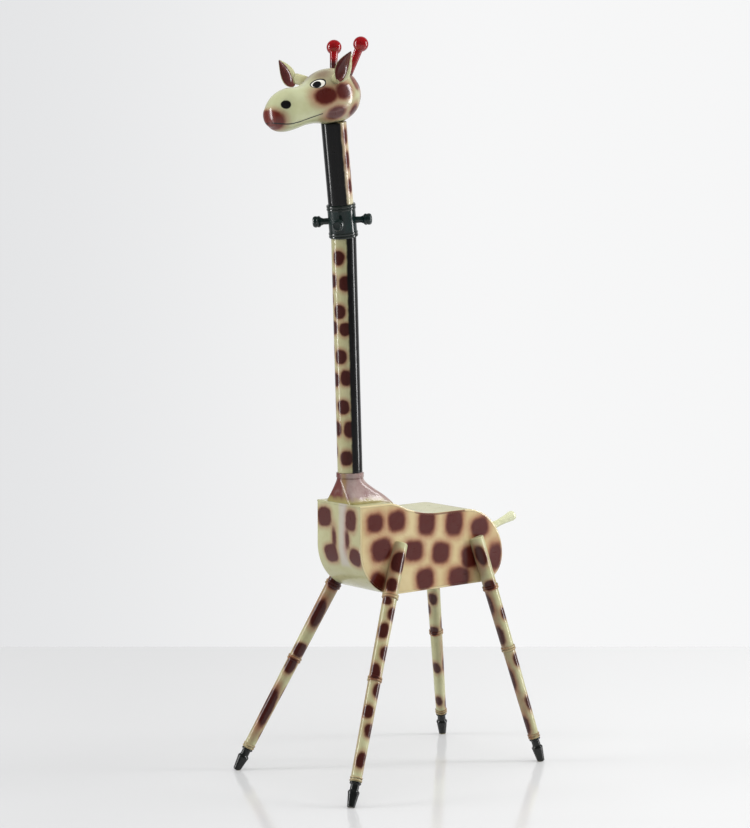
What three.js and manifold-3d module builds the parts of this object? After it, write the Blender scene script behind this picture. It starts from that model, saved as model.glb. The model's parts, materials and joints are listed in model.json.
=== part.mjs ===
// A painted wooden giraffe, free standing: a box body with a saddle seat, four splayed turned
// legs with hooves, and a two-piece neck whose upper pole turns in a pegged collar.
// Millimetres and degrees. +Z is up, the giraffe faces -Y and its left side is +X.

import * as THREE from 'three';
import { mergeVertices } from 'three/addons/utils/BufferGeometryUtils.js';
import Module from 'manifold-3d';

const wasm = await Module();
wasm.setup();

// ---------------------------------------------------------------- driving dimensions

const GAP = 0.3; // clearance left between two pieces that touch or turn in each other

// The body's side outline. Heights are above the floor, front and rear are along Y.
const BODY = {
  width: 134,
  front: -92.5,
  rear: 278,
  bottom: 365.5,
  chestTop: 546.5,
  seatTop: 517,
  chestRadius: 95, // the roll from the chest to the belly
  seatRadius: 237, // the hollow where the seat starts to rise
  shoulderRadius: 79, // the round top of that rise
  shoulderStart: -24.5, // where the top starts to fall towards the seat
  rumpShare: 0.66, // the rump's upper arc takes this share of the body's height, its lower arc the rest
  skin: 4, // bent plywood round the edge
  panel: 12, // side panels
  chestSeam: -30, // where the chest sheet ends under the belly
  rumpSeam: 170, // where the seat and belly sheets meet the rump sheet
};

// A leg is a turned pole. Its top is set on the panel's outer face, so a flat is cut on it.
const LEG = {
  topRadius: 15.5,
  footRadius: 10.8, // just above the lowest ring
  ringLip: 1.9, // how far a ring stands out
  beadLength: 5.2, // each ring is two beads
  endChamfer: 1.6,
  soleHeight: 0.6, // the middle of the hoof's sole above the floor
};
// Each leg's axis starts above its sole and ends on the panel: out is how far it spreads
// sideways, stride how far along Y, and proud how far the axis stands out from the panel's face.
const FRONT_LEG = {
  topY: 9.5,
  topAboveBelly: 99,
  proud: -2,
  out: 117.2,
  stride: -218,
  rings: [54, 250, 417], // heights up the pole
  end: 0, // how far the pole runs past that point
};
const REAR_LEG = {
  topY: 203.3,
  topAboveBelly: 88.7,
  proud: 4.9,
  out: 80.2,
  stride: 106,
  rings: [55, 242, 372],
  end: 5,
};

// A hoof is turned separately and has a spigot that fits the leg.
const HOOF = {
  soleRadius: 7.4,
  shoulderRadius: 11.4,
  shoulderHeight: 29,
  shoulderLength: 4,
  neckRadius: 8.4,
  neckRise: 4.4, // from the shoulder up to the neck
  lipRadius: 10, // the lip that meets the leg
  lipLength: 1.4,
  chamfer: 0.8,
  spigot: 5,
  spigotLength: 16,
};

// Each leg is held by wood screws driven from inside the body, at these drops from the leg's top.
const SCREW = {
  shank: 2.1,
  head: 4.2,
  headHeight: 2.6,
  grip: 11, // how far it goes into the leg
  pointRadius: 0.5,
  pointLength: 3,
  drops: [16, 42],
};

const NECK = {
  radius: 24.3,
  footY: -63.5, // where the neck's axis leaves the socket
  lean: 1.9, // forward lean of the lower pole
  lowerLength: 457, // from the socket's rim to the collar
  upperLength: 157, // from the collar to the head
  tenon: 17,
  headSpigot: 9,
  headSpigotLength: 30,
};

// The socket is round at its rim and flares to a square foot, further behind the neck than in front.
const SOCKET = {
  height: 58.5,
  rim: 26.8,
  rimHeight: 11,
  rimLip: 1,
  foot: 84,
  footDepth: 113,
  lip: 3, // the foot's upright edge
  flare: 1.7, // how quickly the sides and front draw in
  rearFlare: 1.5,
  rounding: 6, // how square the foot is
};
const NECK_BLOCK = { depth: 84, height: 44, tenonDepth: 34 };

const COLLAR = {
  radius: 27,
  ringRadius: 28.3,
  length: 64,
  ringLength: 11,
  forward: 9.6, // lean from upright, in degrees
  left: 4.3,
  lowerTenon: 22, // how far the lower neck reaches into it
};
const PEG = {
  shank: 6.3,
  head: 11,
  headLength: 19,
  round: 3.2, // the head's rounded edges
  standOff: 11, // between the collar and the head
  firstBearing: 42,
  names: ['front_left', 'back_left', 'back_right', 'front_right'],
};

// The head's own frame stands on the neck's axis. The roll levels it on its leaning neck.
const HEAD = {
  width: 102,
  height: 105,
  back: 62,
  nose: 151,
  roll: -6,
  square: 2.15,
  crownEnd: 0.98, // how high the back and the nose close, in half heights
  noseEnd: 0.62,
};
const EAR = {
  length: 72,
  width: 33,
  depth: 23,
  rim: 2.2,
  scoop: 0.42, // how far forward the hollow is shifted, as a share of the depth
  fullness: 0.72, // below 1 the leaf is widest nearer its bottom
  stem: 7,
  stemSwell: 1.35,
  socket: 10,
  tilt: 41,
  sweep: 0.1,
  bottom: { x: 68, y: -29, z: 76.5 },
  root: { x: 41, y: -12, z: 80 },
  stalkSeat: { back: 0.1, along: 0.34 }, // where the stalk meets the leaf, as shares of its size
};
const HORN = {
  ball: 14.6,
  top: 7.8,
  foot: 6.6,
  length: 64,
  socket: 14,
  root: { out: 0.46, back: 33, up: 0.78 }, // out and up as shares of the head's size
  splay: { out: 0.33, back: 0.485 },
};
const TAIL = {
  length: 101.5,
  root: 11.2,
  waist: 7,
  tip: 10.6,
  bevel: 1,
  rise: 17,
  height: 451,
  standOff: 4.5, // the shoulder clears the curve of the rump
  tenon: 6,
  tenonLength: 24,
};
const RUMP_BLOCK = { depth: 26, height: 60 };

const GROOVE = 0.4; // between the two beads of a ring

// How many flat faces go round each kind of turned piece.
const FACETS = { pole: 28, bore: 24, leg: 14, small: 12, screw: 8, horn: 14, ear: 16, tail: 16, head: 28 };
const ARC_STEPS = 10;
const FAR = 2000; // past every edge

// ---------------------------------------------------------------- colours

const FINISH = {
  cream: { color: 0xc9c49a, roughness: 0.32 },
  leg: { color: 0xb9b48a, roughness: 0.3 },
  pole: { color: 0x8d8767, roughness: 0.28 },
  collar: { color: 0x1b2a28, roughness: 0.3 },
  hoof: { color: 0x121414, roughness: 0.35 },
  horn: { color: 0xa3101a, roughness: 0.12 },
  ear: { color: 0xb7b28c, roughness: 0.35 },
  tail: { color: 0xc4c8a6, roughness: 0.3 },
  socket: { color: 0x8e5f5d, roughness: 0.4 },
  wood: { color: 0xb08a5c, roughness: 0.7 },
  steel: { color: 0x8d8f92, roughness: 0.35, metalness: 1 },
};

// ---------------------------------------------------------------- helpers

const radians = THREE.MathUtils.degToRad;
const HALF_WIDTH = BODY.width / 2;

// A joined or cut solid starts from a closed geometry whose shared vertices are merged.
function toSolid(geometry, matrix = new THREE.Matrix4()) {
  const bare = geometry.index ? geometry.toNonIndexed() : geometry.clone();
  bare.deleteAttribute('normal');
  bare.deleteAttribute('uv');
  bare.applyMatrix4(matrix);
  const merged = mergeVertices(bare, 1e-4);
  const vertProperties = new Float32Array(merged.attributes.position.array);
  const triVerts = new Uint32Array(withoutSlivers(merged.index.array));
  return new wasm.Manifold(new wasm.Mesh({ numProp: 3, vertProperties, triVerts }));
}

// Triangles that collapse to a line when vertices merge, as at a pole, are left out.
function withoutSlivers(index) {
  const kept = [];
  for (let i = 0; i < index.length; i += 3) {
    const [a, b, c] = [index[i], index[i + 1], index[i + 2]];
    if (a !== b && b !== c && c !== a) kept.push(a, b, c);
  }
  return kept;
}

function toGeometry(solid) {
  const mesh = solid.getMesh();
  const geometry = new THREE.BufferGeometry();
  geometry.setAttribute('position', new THREE.BufferAttribute(mesh.vertProperties, mesh.numProp));
  geometry.setIndex(new THREE.BufferAttribute(mesh.triVerts, 1));
  geometry.computeVertexNormals();
  return geometry;
}

// Turned work: a profile of [radius, height] pairs that starts and ends on the axis.
function turned(profile, sides) {
  const points = profile.map(([radius, height]) => new THREE.Vector2(radius, height));
  return new THREE.LatheGeometry(points, sides).rotateX(Math.PI / 2);
}

function cylinder(radius, from, to, sides) {
  return turned([[0, from], [radius, from], [radius, to], [0, to]], sides);
}

function box(low, high) {
  const size = high.map((value, axis) => value - low[axis]);
  const middle = high.map((value, axis) => (value + low[axis]) / 2);
  return new THREE.BoxGeometry(...size).translate(...middle);
}

// A turned bead on a pole: a half-round from one height to the other.
function bead(radius, lip, from, to, steps = 3) {
  const points = [];
  for (let i = 0; i <= steps; i += 1) {
    const turn = (Math.PI * i) / steps;
    points.push([radius + lip * Math.sin(turn), from + ((to - from) * (1 - Math.cos(turn))) / 2]);
  }
  return points;
}

// A ring of two beads with a groove between them.
function beadPair(radius, lip, from, to) {
  const middle = (from + to) / 2;
  return [...bead(radius, lip, from, middle - GROOVE / 2), ...bead(radius, lip, middle + GROOVE / 2, to)];
}

// A closed solid through rounded sections stacked along +Z. A section is an ellipse that its
// squareness turns towards a rectangle: 2 is an ellipse, 6 is nearly square.
function loft(start, sections, end, sides) {
  const rows = [start, ...sections, end];
  const profile = rows.map((row, i) => [i === 0 || i === rows.length - 1 ? 0 : 1, row.z]);
  const geometry = turned(profile, sides);
  const position = geometry.attributes.position;
  for (let i = 0; i < position.count; i += 1) {
    const row = rows[i % rows.length];
    const power = 2 / (row.square ?? 2);
    const along = (value) => (Math.abs(value) < 1e-9 ? 0 : Math.sign(value) * Math.abs(value) ** power);
    const [x, y] = [position.getX(i), position.getY(i)];
    const middle = row.y ?? 0;
    position.setXY(i, (row.halfX ?? 0) * along(x), middle + (row.halfY ?? 0) * along(y));
  }
  return geometry;
}

// The matrix of a frame at a place whose +Z points along a direction.
function frameAlong(place, direction) {
  const turn = new THREE.Quaternion().setFromUnitVectors(new THREE.Vector3(0, 0, 1), direction);
  return new THREE.Matrix4().compose(place, turn, new THREE.Vector3(1, 1, 1));
}

function addMesh(parent, name, geometry, finish, matrix) {
  const material = new THREE.MeshStandardMaterial({ metalness: 0, ...finish });
  const mesh = new THREE.Mesh(geometry, material);
  mesh.name = name;
  if (matrix) mesh.applyMatrix4(matrix);
  parent.add(mesh);
  return mesh;
}

// ---------------------------------------------------------------- body

// The rump's two quarter rounds, which meet at its rearmost line.
function rumpArcs() {
  const height = BODY.seatTop - BODY.bottom;
  const upper = BODY.rumpShare * height;
  const lower = height - upper;
  const z = BODY.bottom + lower;
  return {
    upper: { y: BODY.rear - upper, z, radius: upper },
    lower: { y: BODY.rear - lower, z, radius: lower },
  };
}

// The body's side outline in (Y, Z), drawn inwards by an inset that keeps every arc concentric.
function bodyOutline(inset) {
  const front = BODY.front + inset;
  const bottom = BODY.bottom + inset;
  const chestTop = BODY.chestTop - inset;
  const { upper, lower } = rumpArcs();
  const rise = BODY.chestTop - BODY.seatTop;
  const climb = Math.acos(1 - rise / (BODY.seatRadius + BODY.shoulderRadius));
  const run = (BODY.seatRadius + BODY.shoulderRadius) * Math.sin(climb);
  const seatEnd = BODY.shoulderStart + run;
  const shape = new THREE.Shape();
  shape.moveTo(front, chestTop);
  shape.lineTo(front, BODY.bottom + BODY.chestRadius);
  shape.absarc(
    BODY.front + BODY.chestRadius, BODY.bottom + BODY.chestRadius, BODY.chestRadius - inset,
    Math.PI, 1.5 * Math.PI, false,
  );
  shape.lineTo(lower.y, bottom);
  shape.absarc(lower.y, lower.z, lower.radius - inset, -Math.PI / 2, 0, false);
  shape.absarc(upper.y, upper.z, upper.radius - inset, 0, Math.PI / 2, false);
  shape.lineTo(seatEnd, BODY.seatTop - inset);
  shape.absarc(
    seatEnd, BODY.seatTop + BODY.seatRadius, BODY.seatRadius + inset,
    -Math.PI / 2, -Math.PI / 2 - climb, true,
  );
  shape.absarc(
    BODY.shoulderStart, BODY.chestTop - BODY.shoulderRadius, BODY.shoulderRadius - inset,
    Math.PI / 2 - climb, Math.PI / 2, false,
  );
  shape.lineTo(front, chestTop);
  return shape;
}

// The outline's solid between two X values.
function bodySlab(inset, fromX, toX) {
  const settings = { depth: toX - fromX, bevelEnabled: false, curveSegments: ARC_STEPS };
  const slab = new THREE.ExtrudeGeometry(bodyOutline(inset), settings);
  const toBody = new THREE.Matrix4().makeBasis(
    new THREE.Vector3(0, 1, 0), new THREE.Vector3(0, 0, 1), new THREE.Vector3(1, 0, 0),
  );
  return slab.applyMatrix4(toBody).translate(fromX, 0, 0);
}

// A box as wide as the body with room to spare, between two places in Y and Z.
function bodyBox(fromY, toY, fromZ, toZ) {
  return toSolid(box([-BODY.width, fromY, fromZ], [BODY.width, toY, toZ]));
}

function addSkins(parent, neckHole, tailHole) {
  const outer = toSolid(bodySlab(0, -HALF_WIDTH, HALF_WIDTH));
  const ring = outer.subtract(toSolid(bodySlab(BODY.skin, -BODY.width, BODY.width)));
  const underSeat = BODY.seatTop - BODY.skin - 1;
  const lid = BODY.chestTop - BODY.skin;
  const chest = ring.intersect(bodyBox(-FAR, BODY.chestSeam - GAP / 2, 0, lid - GAP));
  const chestEdge = bodyBox(BODY.front + BODY.skin + 1, FAR, underSeat, FAR);
  addMesh(parent, 'chest_sheet', toGeometry(chest.subtract(chestEdge)), FINISH.cream);
  const seatEdge = bodyBox(-FAR, BODY.front + BODY.skin + 1, 0, lid);
  const top = ring.intersect(bodyBox(-FAR, BODY.rumpSeam - GAP / 2, underSeat, FAR));
  const saddle = top.subtract(seatEdge).subtract(neckHole);
  addMesh(parent, 'saddle_seat', toGeometry(saddle), FINISH.cream);
  const belly = ring.intersect(bodyBox(BODY.chestSeam + GAP / 2, BODY.rumpSeam - GAP / 2, 0, underSeat));
  addMesh(parent, 'belly_sheet', toGeometry(belly), FINISH.cream);
  const rump = ring.intersect(bodyBox(BODY.rumpSeam + GAP / 2, FAR, 0, FAR));
  addMesh(parent, 'rump_sheet', toGeometry(rump.subtract(tailHole)), FINISH.cream);
}

function addPanel(parent, side, screwHoles) {
  const inner = HALF_WIDTH - BODY.panel;
  const [from, to] = side > 0 ? [inner, HALF_WIDTH] : [-HALF_WIDTH, -inner];
  let panel = toSolid(bodySlab(BODY.skin + GAP, from, to));
  for (const hole of screwHoles) panel = panel.subtract(hole);
  addMesh(parent, side > 0 ? 'side_panel_left' : 'side_panel_right', toGeometry(panel), FINISH.cream);
}

// Blocks inside the box, from panel to panel, that the neck and the tail are glued into.
function addBlocks(parent, neckHole, tailHole) {
  const reach = HALF_WIDTH - BODY.panel - GAP;
  const under = BODY.chestTop - BODY.skin - GAP;
  const front = BODY.front + BODY.skin + GAP;
  const inside = toSolid(bodySlab(BODY.skin + GAP, -reach, reach));
  const neckBlank = box([-reach, front, under - NECK_BLOCK.height], [reach, front + NECK_BLOCK.depth, under]);
  const neckBlock = toSolid(neckBlank).intersect(inside).subtract(neckHole);
  addMesh(parent, 'neck_block', toGeometry(neckBlock), FINISH.wood);
  const back = BODY.rear - BODY.skin - GAP;
  const rumpBlank = box(
    [-reach, back - RUMP_BLOCK.depth, TAIL.height - RUMP_BLOCK.height / 2],
    [reach, back, TAIL.height + RUMP_BLOCK.height / 2],
  );
  const rumpBlock = toSolid(rumpBlank).intersect(inside).subtract(tailHole);
  addMesh(parent, 'rump_block', toGeometry(rumpBlock), FINISH.wood);
}

// ---------------------------------------------------------------- legs

// Where a leg's axis runs: from the middle of its sole to its top end.
function legLine(spec, side) {
  const top = new THREE.Vector3(
    side * (HALF_WIDTH + spec.proud), spec.topY, BODY.bottom + spec.topAboveBelly,
  );
  const sole = new THREE.Vector3(top.x + side * spec.out, spec.topY + spec.stride, LEG.soleHeight);
  const direction = top.clone().sub(sole);
  const length = direction.length() + spec.end;
  return { sole, direction: direction.normalize(), length };
}

function legRadius(height, spec, length) {
  const low = spec.rings[0];
  return LEG.footRadius + ((LEG.topRadius - LEG.footRadius) * (height - low)) / (length - low);
}

function legProfile(spec, length) {
  const { beadLength, ringLip, topRadius, endChamfer } = LEG;
  const profile = [[0, spec.rings[0] - beadLength]];
  for (const height of spec.rings) {
    const radius = legRadius(height, spec, length);
    profile.push(...beadPair(radius, ringLip, height - beadLength, height + beadLength));
  }
  profile.push([topRadius, length - endChamfer], [topRadius - endChamfer, length], [0, length]);
  return profile;
}

// The hoof, from its sole at zero up to its seat on the leg, then its spigot.
function hoofProfile(seat) {
  const { neckRadius, neckRise, lipRadius, lipLength, soleRadius, chamfer, spigot, spigotLength } = HOOF;
  const { shoulderRadius, shoulderHeight, shoulderLength } = HOOF;
  const top = seat - GAP;
  const end = top + spigotLength;
  return [
    [0, 0], [soleRadius - chamfer, 0], [soleRadius, chamfer],
    [shoulderRadius - chamfer, shoulderHeight - shoulderLength], [shoulderRadius, shoulderHeight],
    [shoulderRadius - chamfer, shoulderHeight + neckRise / 2], [neckRadius, shoulderHeight + neckRise],
    [neckRadius, top - 2 * lipLength], [lipRadius, top - lipLength], [lipRadius, top],
    [spigot, top], [spigot, end - chamfer], [spigot - chamfer, end], [0, end],
  ];
}

// The screws of one leg, as frames whose +Z points outwards from the panel's inner face.
function screwFrames(spec, side) {
  const { sole, direction } = legLine(spec, side);
  return SCREW.drops.map((drop) => {
    const z = BODY.bottom + spec.topAboveBelly - drop;
    const reach = (z - sole.z) / direction.z;
    const place = sole.clone().addScaledVector(direction, reach);
    place.x = side * (HALF_WIDTH - BODY.panel);
    return frameAlong(place, new THREE.Vector3(side, 0, 0));
  });
}

// A screw, or with clearances the hole for it.
function screwSolid(clearance, headClearance) {
  const { shank, head, headHeight, grip, pointRadius, pointLength } = SCREW;
  const tip = BODY.panel + grip;
  const back = -headHeight - headClearance;
  return turned([
    [0, back], [head - shank / 2, back], [head, -headHeight / 2], [head, -clearance],
    [shank + clearance, -clearance], [shank + clearance, tip - pointLength],
    [pointRadius + clearance, tip + clearance], [0, tip + clearance],
  ], FACETS.screw);
}

function addLeg(parent, spec, side, name) {
  const { sole, direction, length } = legLine(spec, side);
  const matrix = frameAlong(sole, direction);
  const seat = spec.rings[0] - LEG.beadLength;
  const pole = toSolid(turned(legProfile(spec, length), FACETS.leg), matrix);
  const spigotHole = cylinder(HOOF.spigot + GAP, seat - 1, seat + HOOF.spigotLength + GAP, FACETS.small);
  const face = side * (HALF_WIDTH + GAP);
  const away = [Math.min(face, -side * FAR), Math.max(face, -side * FAR)];
  const flat = box([away[0], -FAR, BODY.bottom / 2], [away[1], FAR, FAR]);
  let leg = pole.subtract(toSolid(spigotHole, matrix)).subtract(toSolid(flat));
  const frames = screwFrames(spec, side);
  for (const frame of frames) leg = leg.subtract(toSolid(screwSolid(GAP, 0), frame));
  addMesh(parent, `leg_${name}`, toGeometry(leg), FINISH.leg);
  const hoof = toSolid(turned(hoofProfile(seat), FACETS.small), matrix);
  const ground = box([-FAR, -FAR, -FAR], [FAR, FAR, 0]);
  addMesh(parent, `hoof_${name}`, toGeometry(hoof.subtract(toSolid(ground))), FINISH.hoof);
  frames.forEach((frame, i) => {
    const level = i === 0 ? 'upper' : 'lower';
    addMesh(parent, `leg_screw_${name}_${level}`, screwSolid(0, 0), FINISH.steel, frame);
  });
  return frames.map((frame) => toSolid(screwSolid(GAP, GAP), frame));
}

// ---------------------------------------------------------------- neck

// The lower neck's frame: its origin is where the axis meets the socket's rim.
function lowerNeckFrame() {
  const direction = new THREE.Vector3(0, -Math.sin(radians(NECK.lean)), Math.cos(radians(NECK.lean)));
  const place = new THREE.Vector3(0, NECK.footY, BODY.chestTop + SOCKET.height);
  return frameAlong(place, direction);
}

// The collar's frame: its origin is the middle of its lower face, on the lower neck's axis.
function collarFrame() {
  const place = new THREE.Vector3(0, 0, NECK.lowerLength).applyMatrix4(lowerNeckFrame());
  const lean = new THREE.Euler(radians(COLLAR.forward), radians(COLLAR.left), 0, 'YXZ');
  const turn = new THREE.Quaternion().setFromEuler(lean);
  return new THREE.Matrix4().compose(place, turn, new THREE.Vector3(1, 1, 1));
}

// The long tenon at the foot of the neck, and the hole for it.
function footTenon(clearance) {
  const bottom = -SOCKET.height - BODY.skin - NECK_BLOCK.tenonDepth;
  const top = SOCKET.lip; // inside the pole
  return toSolid(cylinder(NECK.tenon + clearance, bottom - clearance, top, FACETS.bore), lowerNeckFrame());
}

// How far the body's top has fallen at a place behind the shoulder.
function shoulderDrop(y) {
  const past = THREE.MathUtils.clamp(y - BODY.shoulderStart, 0, BODY.shoulderRadius);
  return BODY.shoulderRadius - Math.sqrt(BODY.shoulderRadius ** 2 - past ** 2);
}

// The socket's section at a share of the way up its flare.
function socketSection(climb) {
  const { height, rim, rimHeight, rimLip, foot, footDepth, lip, flare, rearFlare, rounding } = SOCKET;
  const waist = rim - rimLip;
  const frontReach = NECK.footY - BODY.front;
  const rearReach = footDepth - frontReach;
  const spread = (1 - climb) ** flare;
  const front = NECK.footY - waist - (frontReach - waist) * spread;
  const rear = NECK.footY + waist + (rearReach - waist) * (1 - climb) ** rearFlare;
  return {
    z: BODY.chestTop + lip + (height - rimHeight - lip) * climb,
    halfX: waist + (foot / 2 - waist) * spread,
    halfY: (rear - front) / 2,
    y: (rear + front) / 2,
    square: 2 + rounding * spread,
    fall: 1 - climb,
  };
}

// The socket before it is bored. Its foot follows the body's top as that falls away behind.
function socketBlank() {
  const { height, rim, rimHeight, rimLip, lip } = SOCKET;
  const steps = 7;
  const flared = Array.from({ length: steps + 1 }, (_, i) => socketSection(i / steps));
  const base = { ...flared[0], z: BODY.chestTop - lip };
  const rimStart = BODY.chestTop + height - rimHeight + rimLip;
  const rimSection = { halfX: rim, halfY: rim, y: NECK.footY, fall: 0 };
  const top = { ...rimSection, z: BODY.chestTop + height + lip };
  const rows = [base, ...flared, { ...rimSection, z: rimStart }, top];
  const blank = loft({ ...base, halfX: 0, halfY: 0 }, rows, { z: top.z, y: top.y, fall: 0 }, FACETS.bore);
  const position = blank.attributes.position;
  const fall = [base.fall, ...rows.map((row) => row.fall), 0];
  for (let i = 0; i < position.count; i += 1) {
    const drop = fall[i % fall.length] * shoulderDrop(position.getY(i));
    position.setZ(i, position.getZ(i) - drop);
  }
  return toSolid(blank);
}

function addSocket(parent, neckHole) {
  const above = toSolid(box([-FAR, -FAR, 0], [FAR, FAR, FAR]), lowerNeckFrame());
  const body = toSolid(bodySlab(-GAP, -BODY.width, BODY.width));
  const bored = socketBlank().subtract(above).subtract(body).subtract(neckHole);
  addMesh(parent, 'neck_socket', toGeometry(bored), FINISH.socket);
}

function addLowerNeck(parent) {
  const overrun = NECK.radius;
  const length = NECK.lowerLength + overrun;
  const pole = toSolid(cylinder(NECK.radius, GAP, length, FACETS.pole), lowerNeckFrame());
  const collar = collarFrame();
  const above = toSolid(box([-FAR, -FAR, -GAP], [FAR, FAR, FAR]), collar);
  const topTenon = toSolid(cylinder(NECK.tenon, -overrun, COLLAR.lowerTenon, FACETS.bore), collar);
  const neck = pole.subtract(above).add(topTenon).add(footTenon(0));
  addMesh(parent, 'lower_neck', toGeometry(neck), FINISH.pole);
}

// The bearings of the pegs round the collar, from straight ahead towards the left.
function pegBearings() {
  return PEG.names.map((_, i) => PEG.firstBearing + (360 / PEG.names.length) * i);
}

function pegFrame(bearing) {
  const angle = radians(bearing);
  const direction = new THREE.Vector3(Math.sin(angle), -Math.cos(angle), 0);
  return frameAlong(new THREE.Vector3(0, 0, COLLAR.length / 2), direction);
}

function addCollar(parent) {
  const { radius, ringRadius, length, ringLength } = COLLAR;
  const lip = ringRadius - radius;
  const rings = [beadPair(radius, lip, 0, ringLength), beadPair(radius, lip, length - ringLength, length)];
  const outside = turned([[0, 0], ...rings.flat(), [0, length]], FACETS.bore);
  const bore = cylinder(NECK.tenon + GAP, -1, length + 1, FACETS.bore);
  let collar = toSolid(outside).subtract(toSolid(bore));
  for (const bearing of pegBearings()) {
    const hole = cylinder(PEG.shank + GAP, 0, 2 * ringRadius, FACETS.small);
    collar = collar.subtract(toSolid(hole, pegFrame(bearing)));
  }
  addMesh(parent, 'collar', toGeometry(collar), FINISH.collar);
}

function addPegs(parent) {
  const { shank, head, headLength, round, standOff, names } = PEG;
  const tip = NECK.tenon + 2 * GAP;
  const start = COLLAR.radius + standOff;
  const end = start + headLength;
  const profile = [
    [0, tip], [shank - 1, tip], [shank, tip + 1], [shank, start - round / 2], [head - round, start + round],
    [head, start + 2 * round], [head, end - round], [head - round / 2, end - round / 5],
    [head - round, end], [0, end],
  ];
  pegBearings().forEach((bearing, i) => {
    const peg = turned(profile, FACETS.small);
    addMesh(parent, `collar_peg_${names[i]}`, peg, FINISH.collar, pegFrame(bearing));
  });
}

function addUpperNeck(parent) {
  const seat = COLLAR.length + GAP;
  const top = seat + NECK.upperLength;
  const bottom = COLLAR.lowerTenon + GAP;
  const { tenon, radius, headSpigot, headSpigotLength } = NECK;
  const end = top + headSpigotLength;
  const profile = [
    [0, bottom], [tenon, bottom], [tenon, seat], [radius, seat], [radius, top],
    [headSpigot, top], [headSpigot, end - 1], [headSpigot - 1, end], [0, end],
  ];
  addMesh(parent, 'upper_neck', turned(profile, FACETS.pole), FINISH.pole);
}

// ---------------------------------------------------------------- head

// Sections of the carved head, as [distance forward, half width, top, bottom], for a head that is
// two wide, two high, one deep behind the neck's axis and one long in front of it.
const HEAD_SECTIONS = [
  [-0.9, 0.46, 1.44, 0.44], [-0.68, 0.74, 1.7, 0.18], [-0.34, 0.94, 1.88, 0], [0, 1, 1.94, -0.03],
  [0.13, 0.99, 1.88, 0], [0.25, 0.94, 1.71, 0.07], [0.36, 0.87, 1.54, 0.1], [0.5, 0.8, 1.48, 0.09],
  [0.66, 0.76, 1.5, 0.02], [0.79, 0.72, 1.4, 0], [0.89, 0.61, 1.2, 0.07], [0.96, 0.43, 0.98, 0.24],
];

function headSolid() {
  const half = HEAD.height / 2;
  const reach = (share) => share * (share < 0 ? HEAD.back : HEAD.nose);
  const sections = HEAD_SECTIONS.map(([forward, width, top, bottom]) => ({
    z: reach(forward),
    halfX: (width * HEAD.width) / 2,
    halfY: ((top - bottom) / 2) * half,
    y: ((top + bottom) / 2) * half,
    square: HEAD.square,
  }));
  const start = { z: reach(-1), y: HEAD.crownEnd * half };
  const end = { z: reach(1), y: HEAD.noseEnd * half };
  return toSolid(loft(start, sections, end, FACETS.head).rotateX(Math.PI / 2));
}

// An ear's frame: its origin is the bottom of the leaf, +Z runs to the tip and -Y faces forward.
function earFrame(side) {
  const bottom = new THREE.Vector3(side * EAR.bottom.x, EAR.bottom.y, EAR.bottom.z);
  const tilt = radians(EAR.tilt);
  const along = new THREE.Vector3(side * Math.sin(tilt), EAR.sweep, Math.cos(tilt)).normalize();
  const across = new THREE.Vector3(0, 1, 0).cross(along).normalize();
  const back = along.clone().cross(across);
  return new THREE.Matrix4().makeBasis(across, back, along).setPosition(bottom);
}

// The stalk that joins the leaf's back to the head, as a frame that runs outwards from the head.
function stalkFrame(side) {
  const root = new THREE.Vector3(side * EAR.root.x, EAR.root.y, EAR.root.z);
  const { back, along } = EAR.stalkSeat;
  const seat = new THREE.Vector3(0, EAR.depth * back, EAR.length * along).applyMatrix4(earFrame(side));
  const length = seat.distanceTo(root);
  return { frame: frameAlong(root, seat.sub(root).normalize()), length };
}

// A horn's frame: its origin is under the crown and +Z runs out through its ball.
function hornFrame(side) {
  const { root, splay } = HORN;
  const place = new THREE.Vector3(side * root.out * (HEAD.width / 2), root.back, root.up * HEAD.height);
  return frameAlong(place, new THREE.Vector3(side * splay.out, splay.back, 1).normalize());
}

// One leaf shape, drawn inwards by an inset: round at the bottom and pointed at the tip.
function leaf(inset, sides) {
  const { length, width, depth } = EAR;
  const steps = 9;
  const rows = [];
  for (let i = 1; i < steps; i += 1) {
    const share = i / steps;
    const swell = Math.sin(Math.PI * share ** EAR.fullness);
    rows.push({
      z: inset + (length - 3 * inset) * share,
      halfX: (width / 2 - inset) * swell,
      halfY: (depth / 2 - inset) * swell,
    });
  }
  return loft({ z: inset }, rows, { z: length - 2 * inset }, sides);
}

// An ear is a leaf on a stalk, scooped out on its front.
function earSolid(side) {
  const { frame, length } = stalkFrame(side);
  const profile = [
    [0, -EAR.socket], [EAR.stem, -EAR.socket], [EAR.stem, 0], [EAR.stem * EAR.stemSwell, (2 * length) / 3],
    [EAR.stem, length], [0, length + EAR.stem / 2],
  ];
  const blade = toSolid(leaf(0, FACETS.ear), earFrame(side));
  const scoopPlace = new THREE.Matrix4().makeTranslation(0, -EAR.depth * EAR.scoop, 0);
  const scoop = toSolid(leaf(EAR.rim, FACETS.ear), earFrame(side).multiply(scoopPlace));
  return blade.add(toSolid(turned(profile, FACETS.horn), frame)).subtract(scoop);
}

function hornProfile() {
  const { ball, top, foot, length, socket } = HORN;
  const profile = [[0, -socket], [foot - 1, -socket], [foot - 1, 0], [foot, 4]];
  const join = Math.asin(top / ball);
  const steps = 7;
  for (let i = 0; i <= steps; i += 1) {
    const turn = join + ((Math.PI - join) * i) / steps;
    profile.push([i === steps ? 0 : ball * Math.sin(turn), length - ball * Math.cos(turn)]);
  }
  return profile;
}

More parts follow.
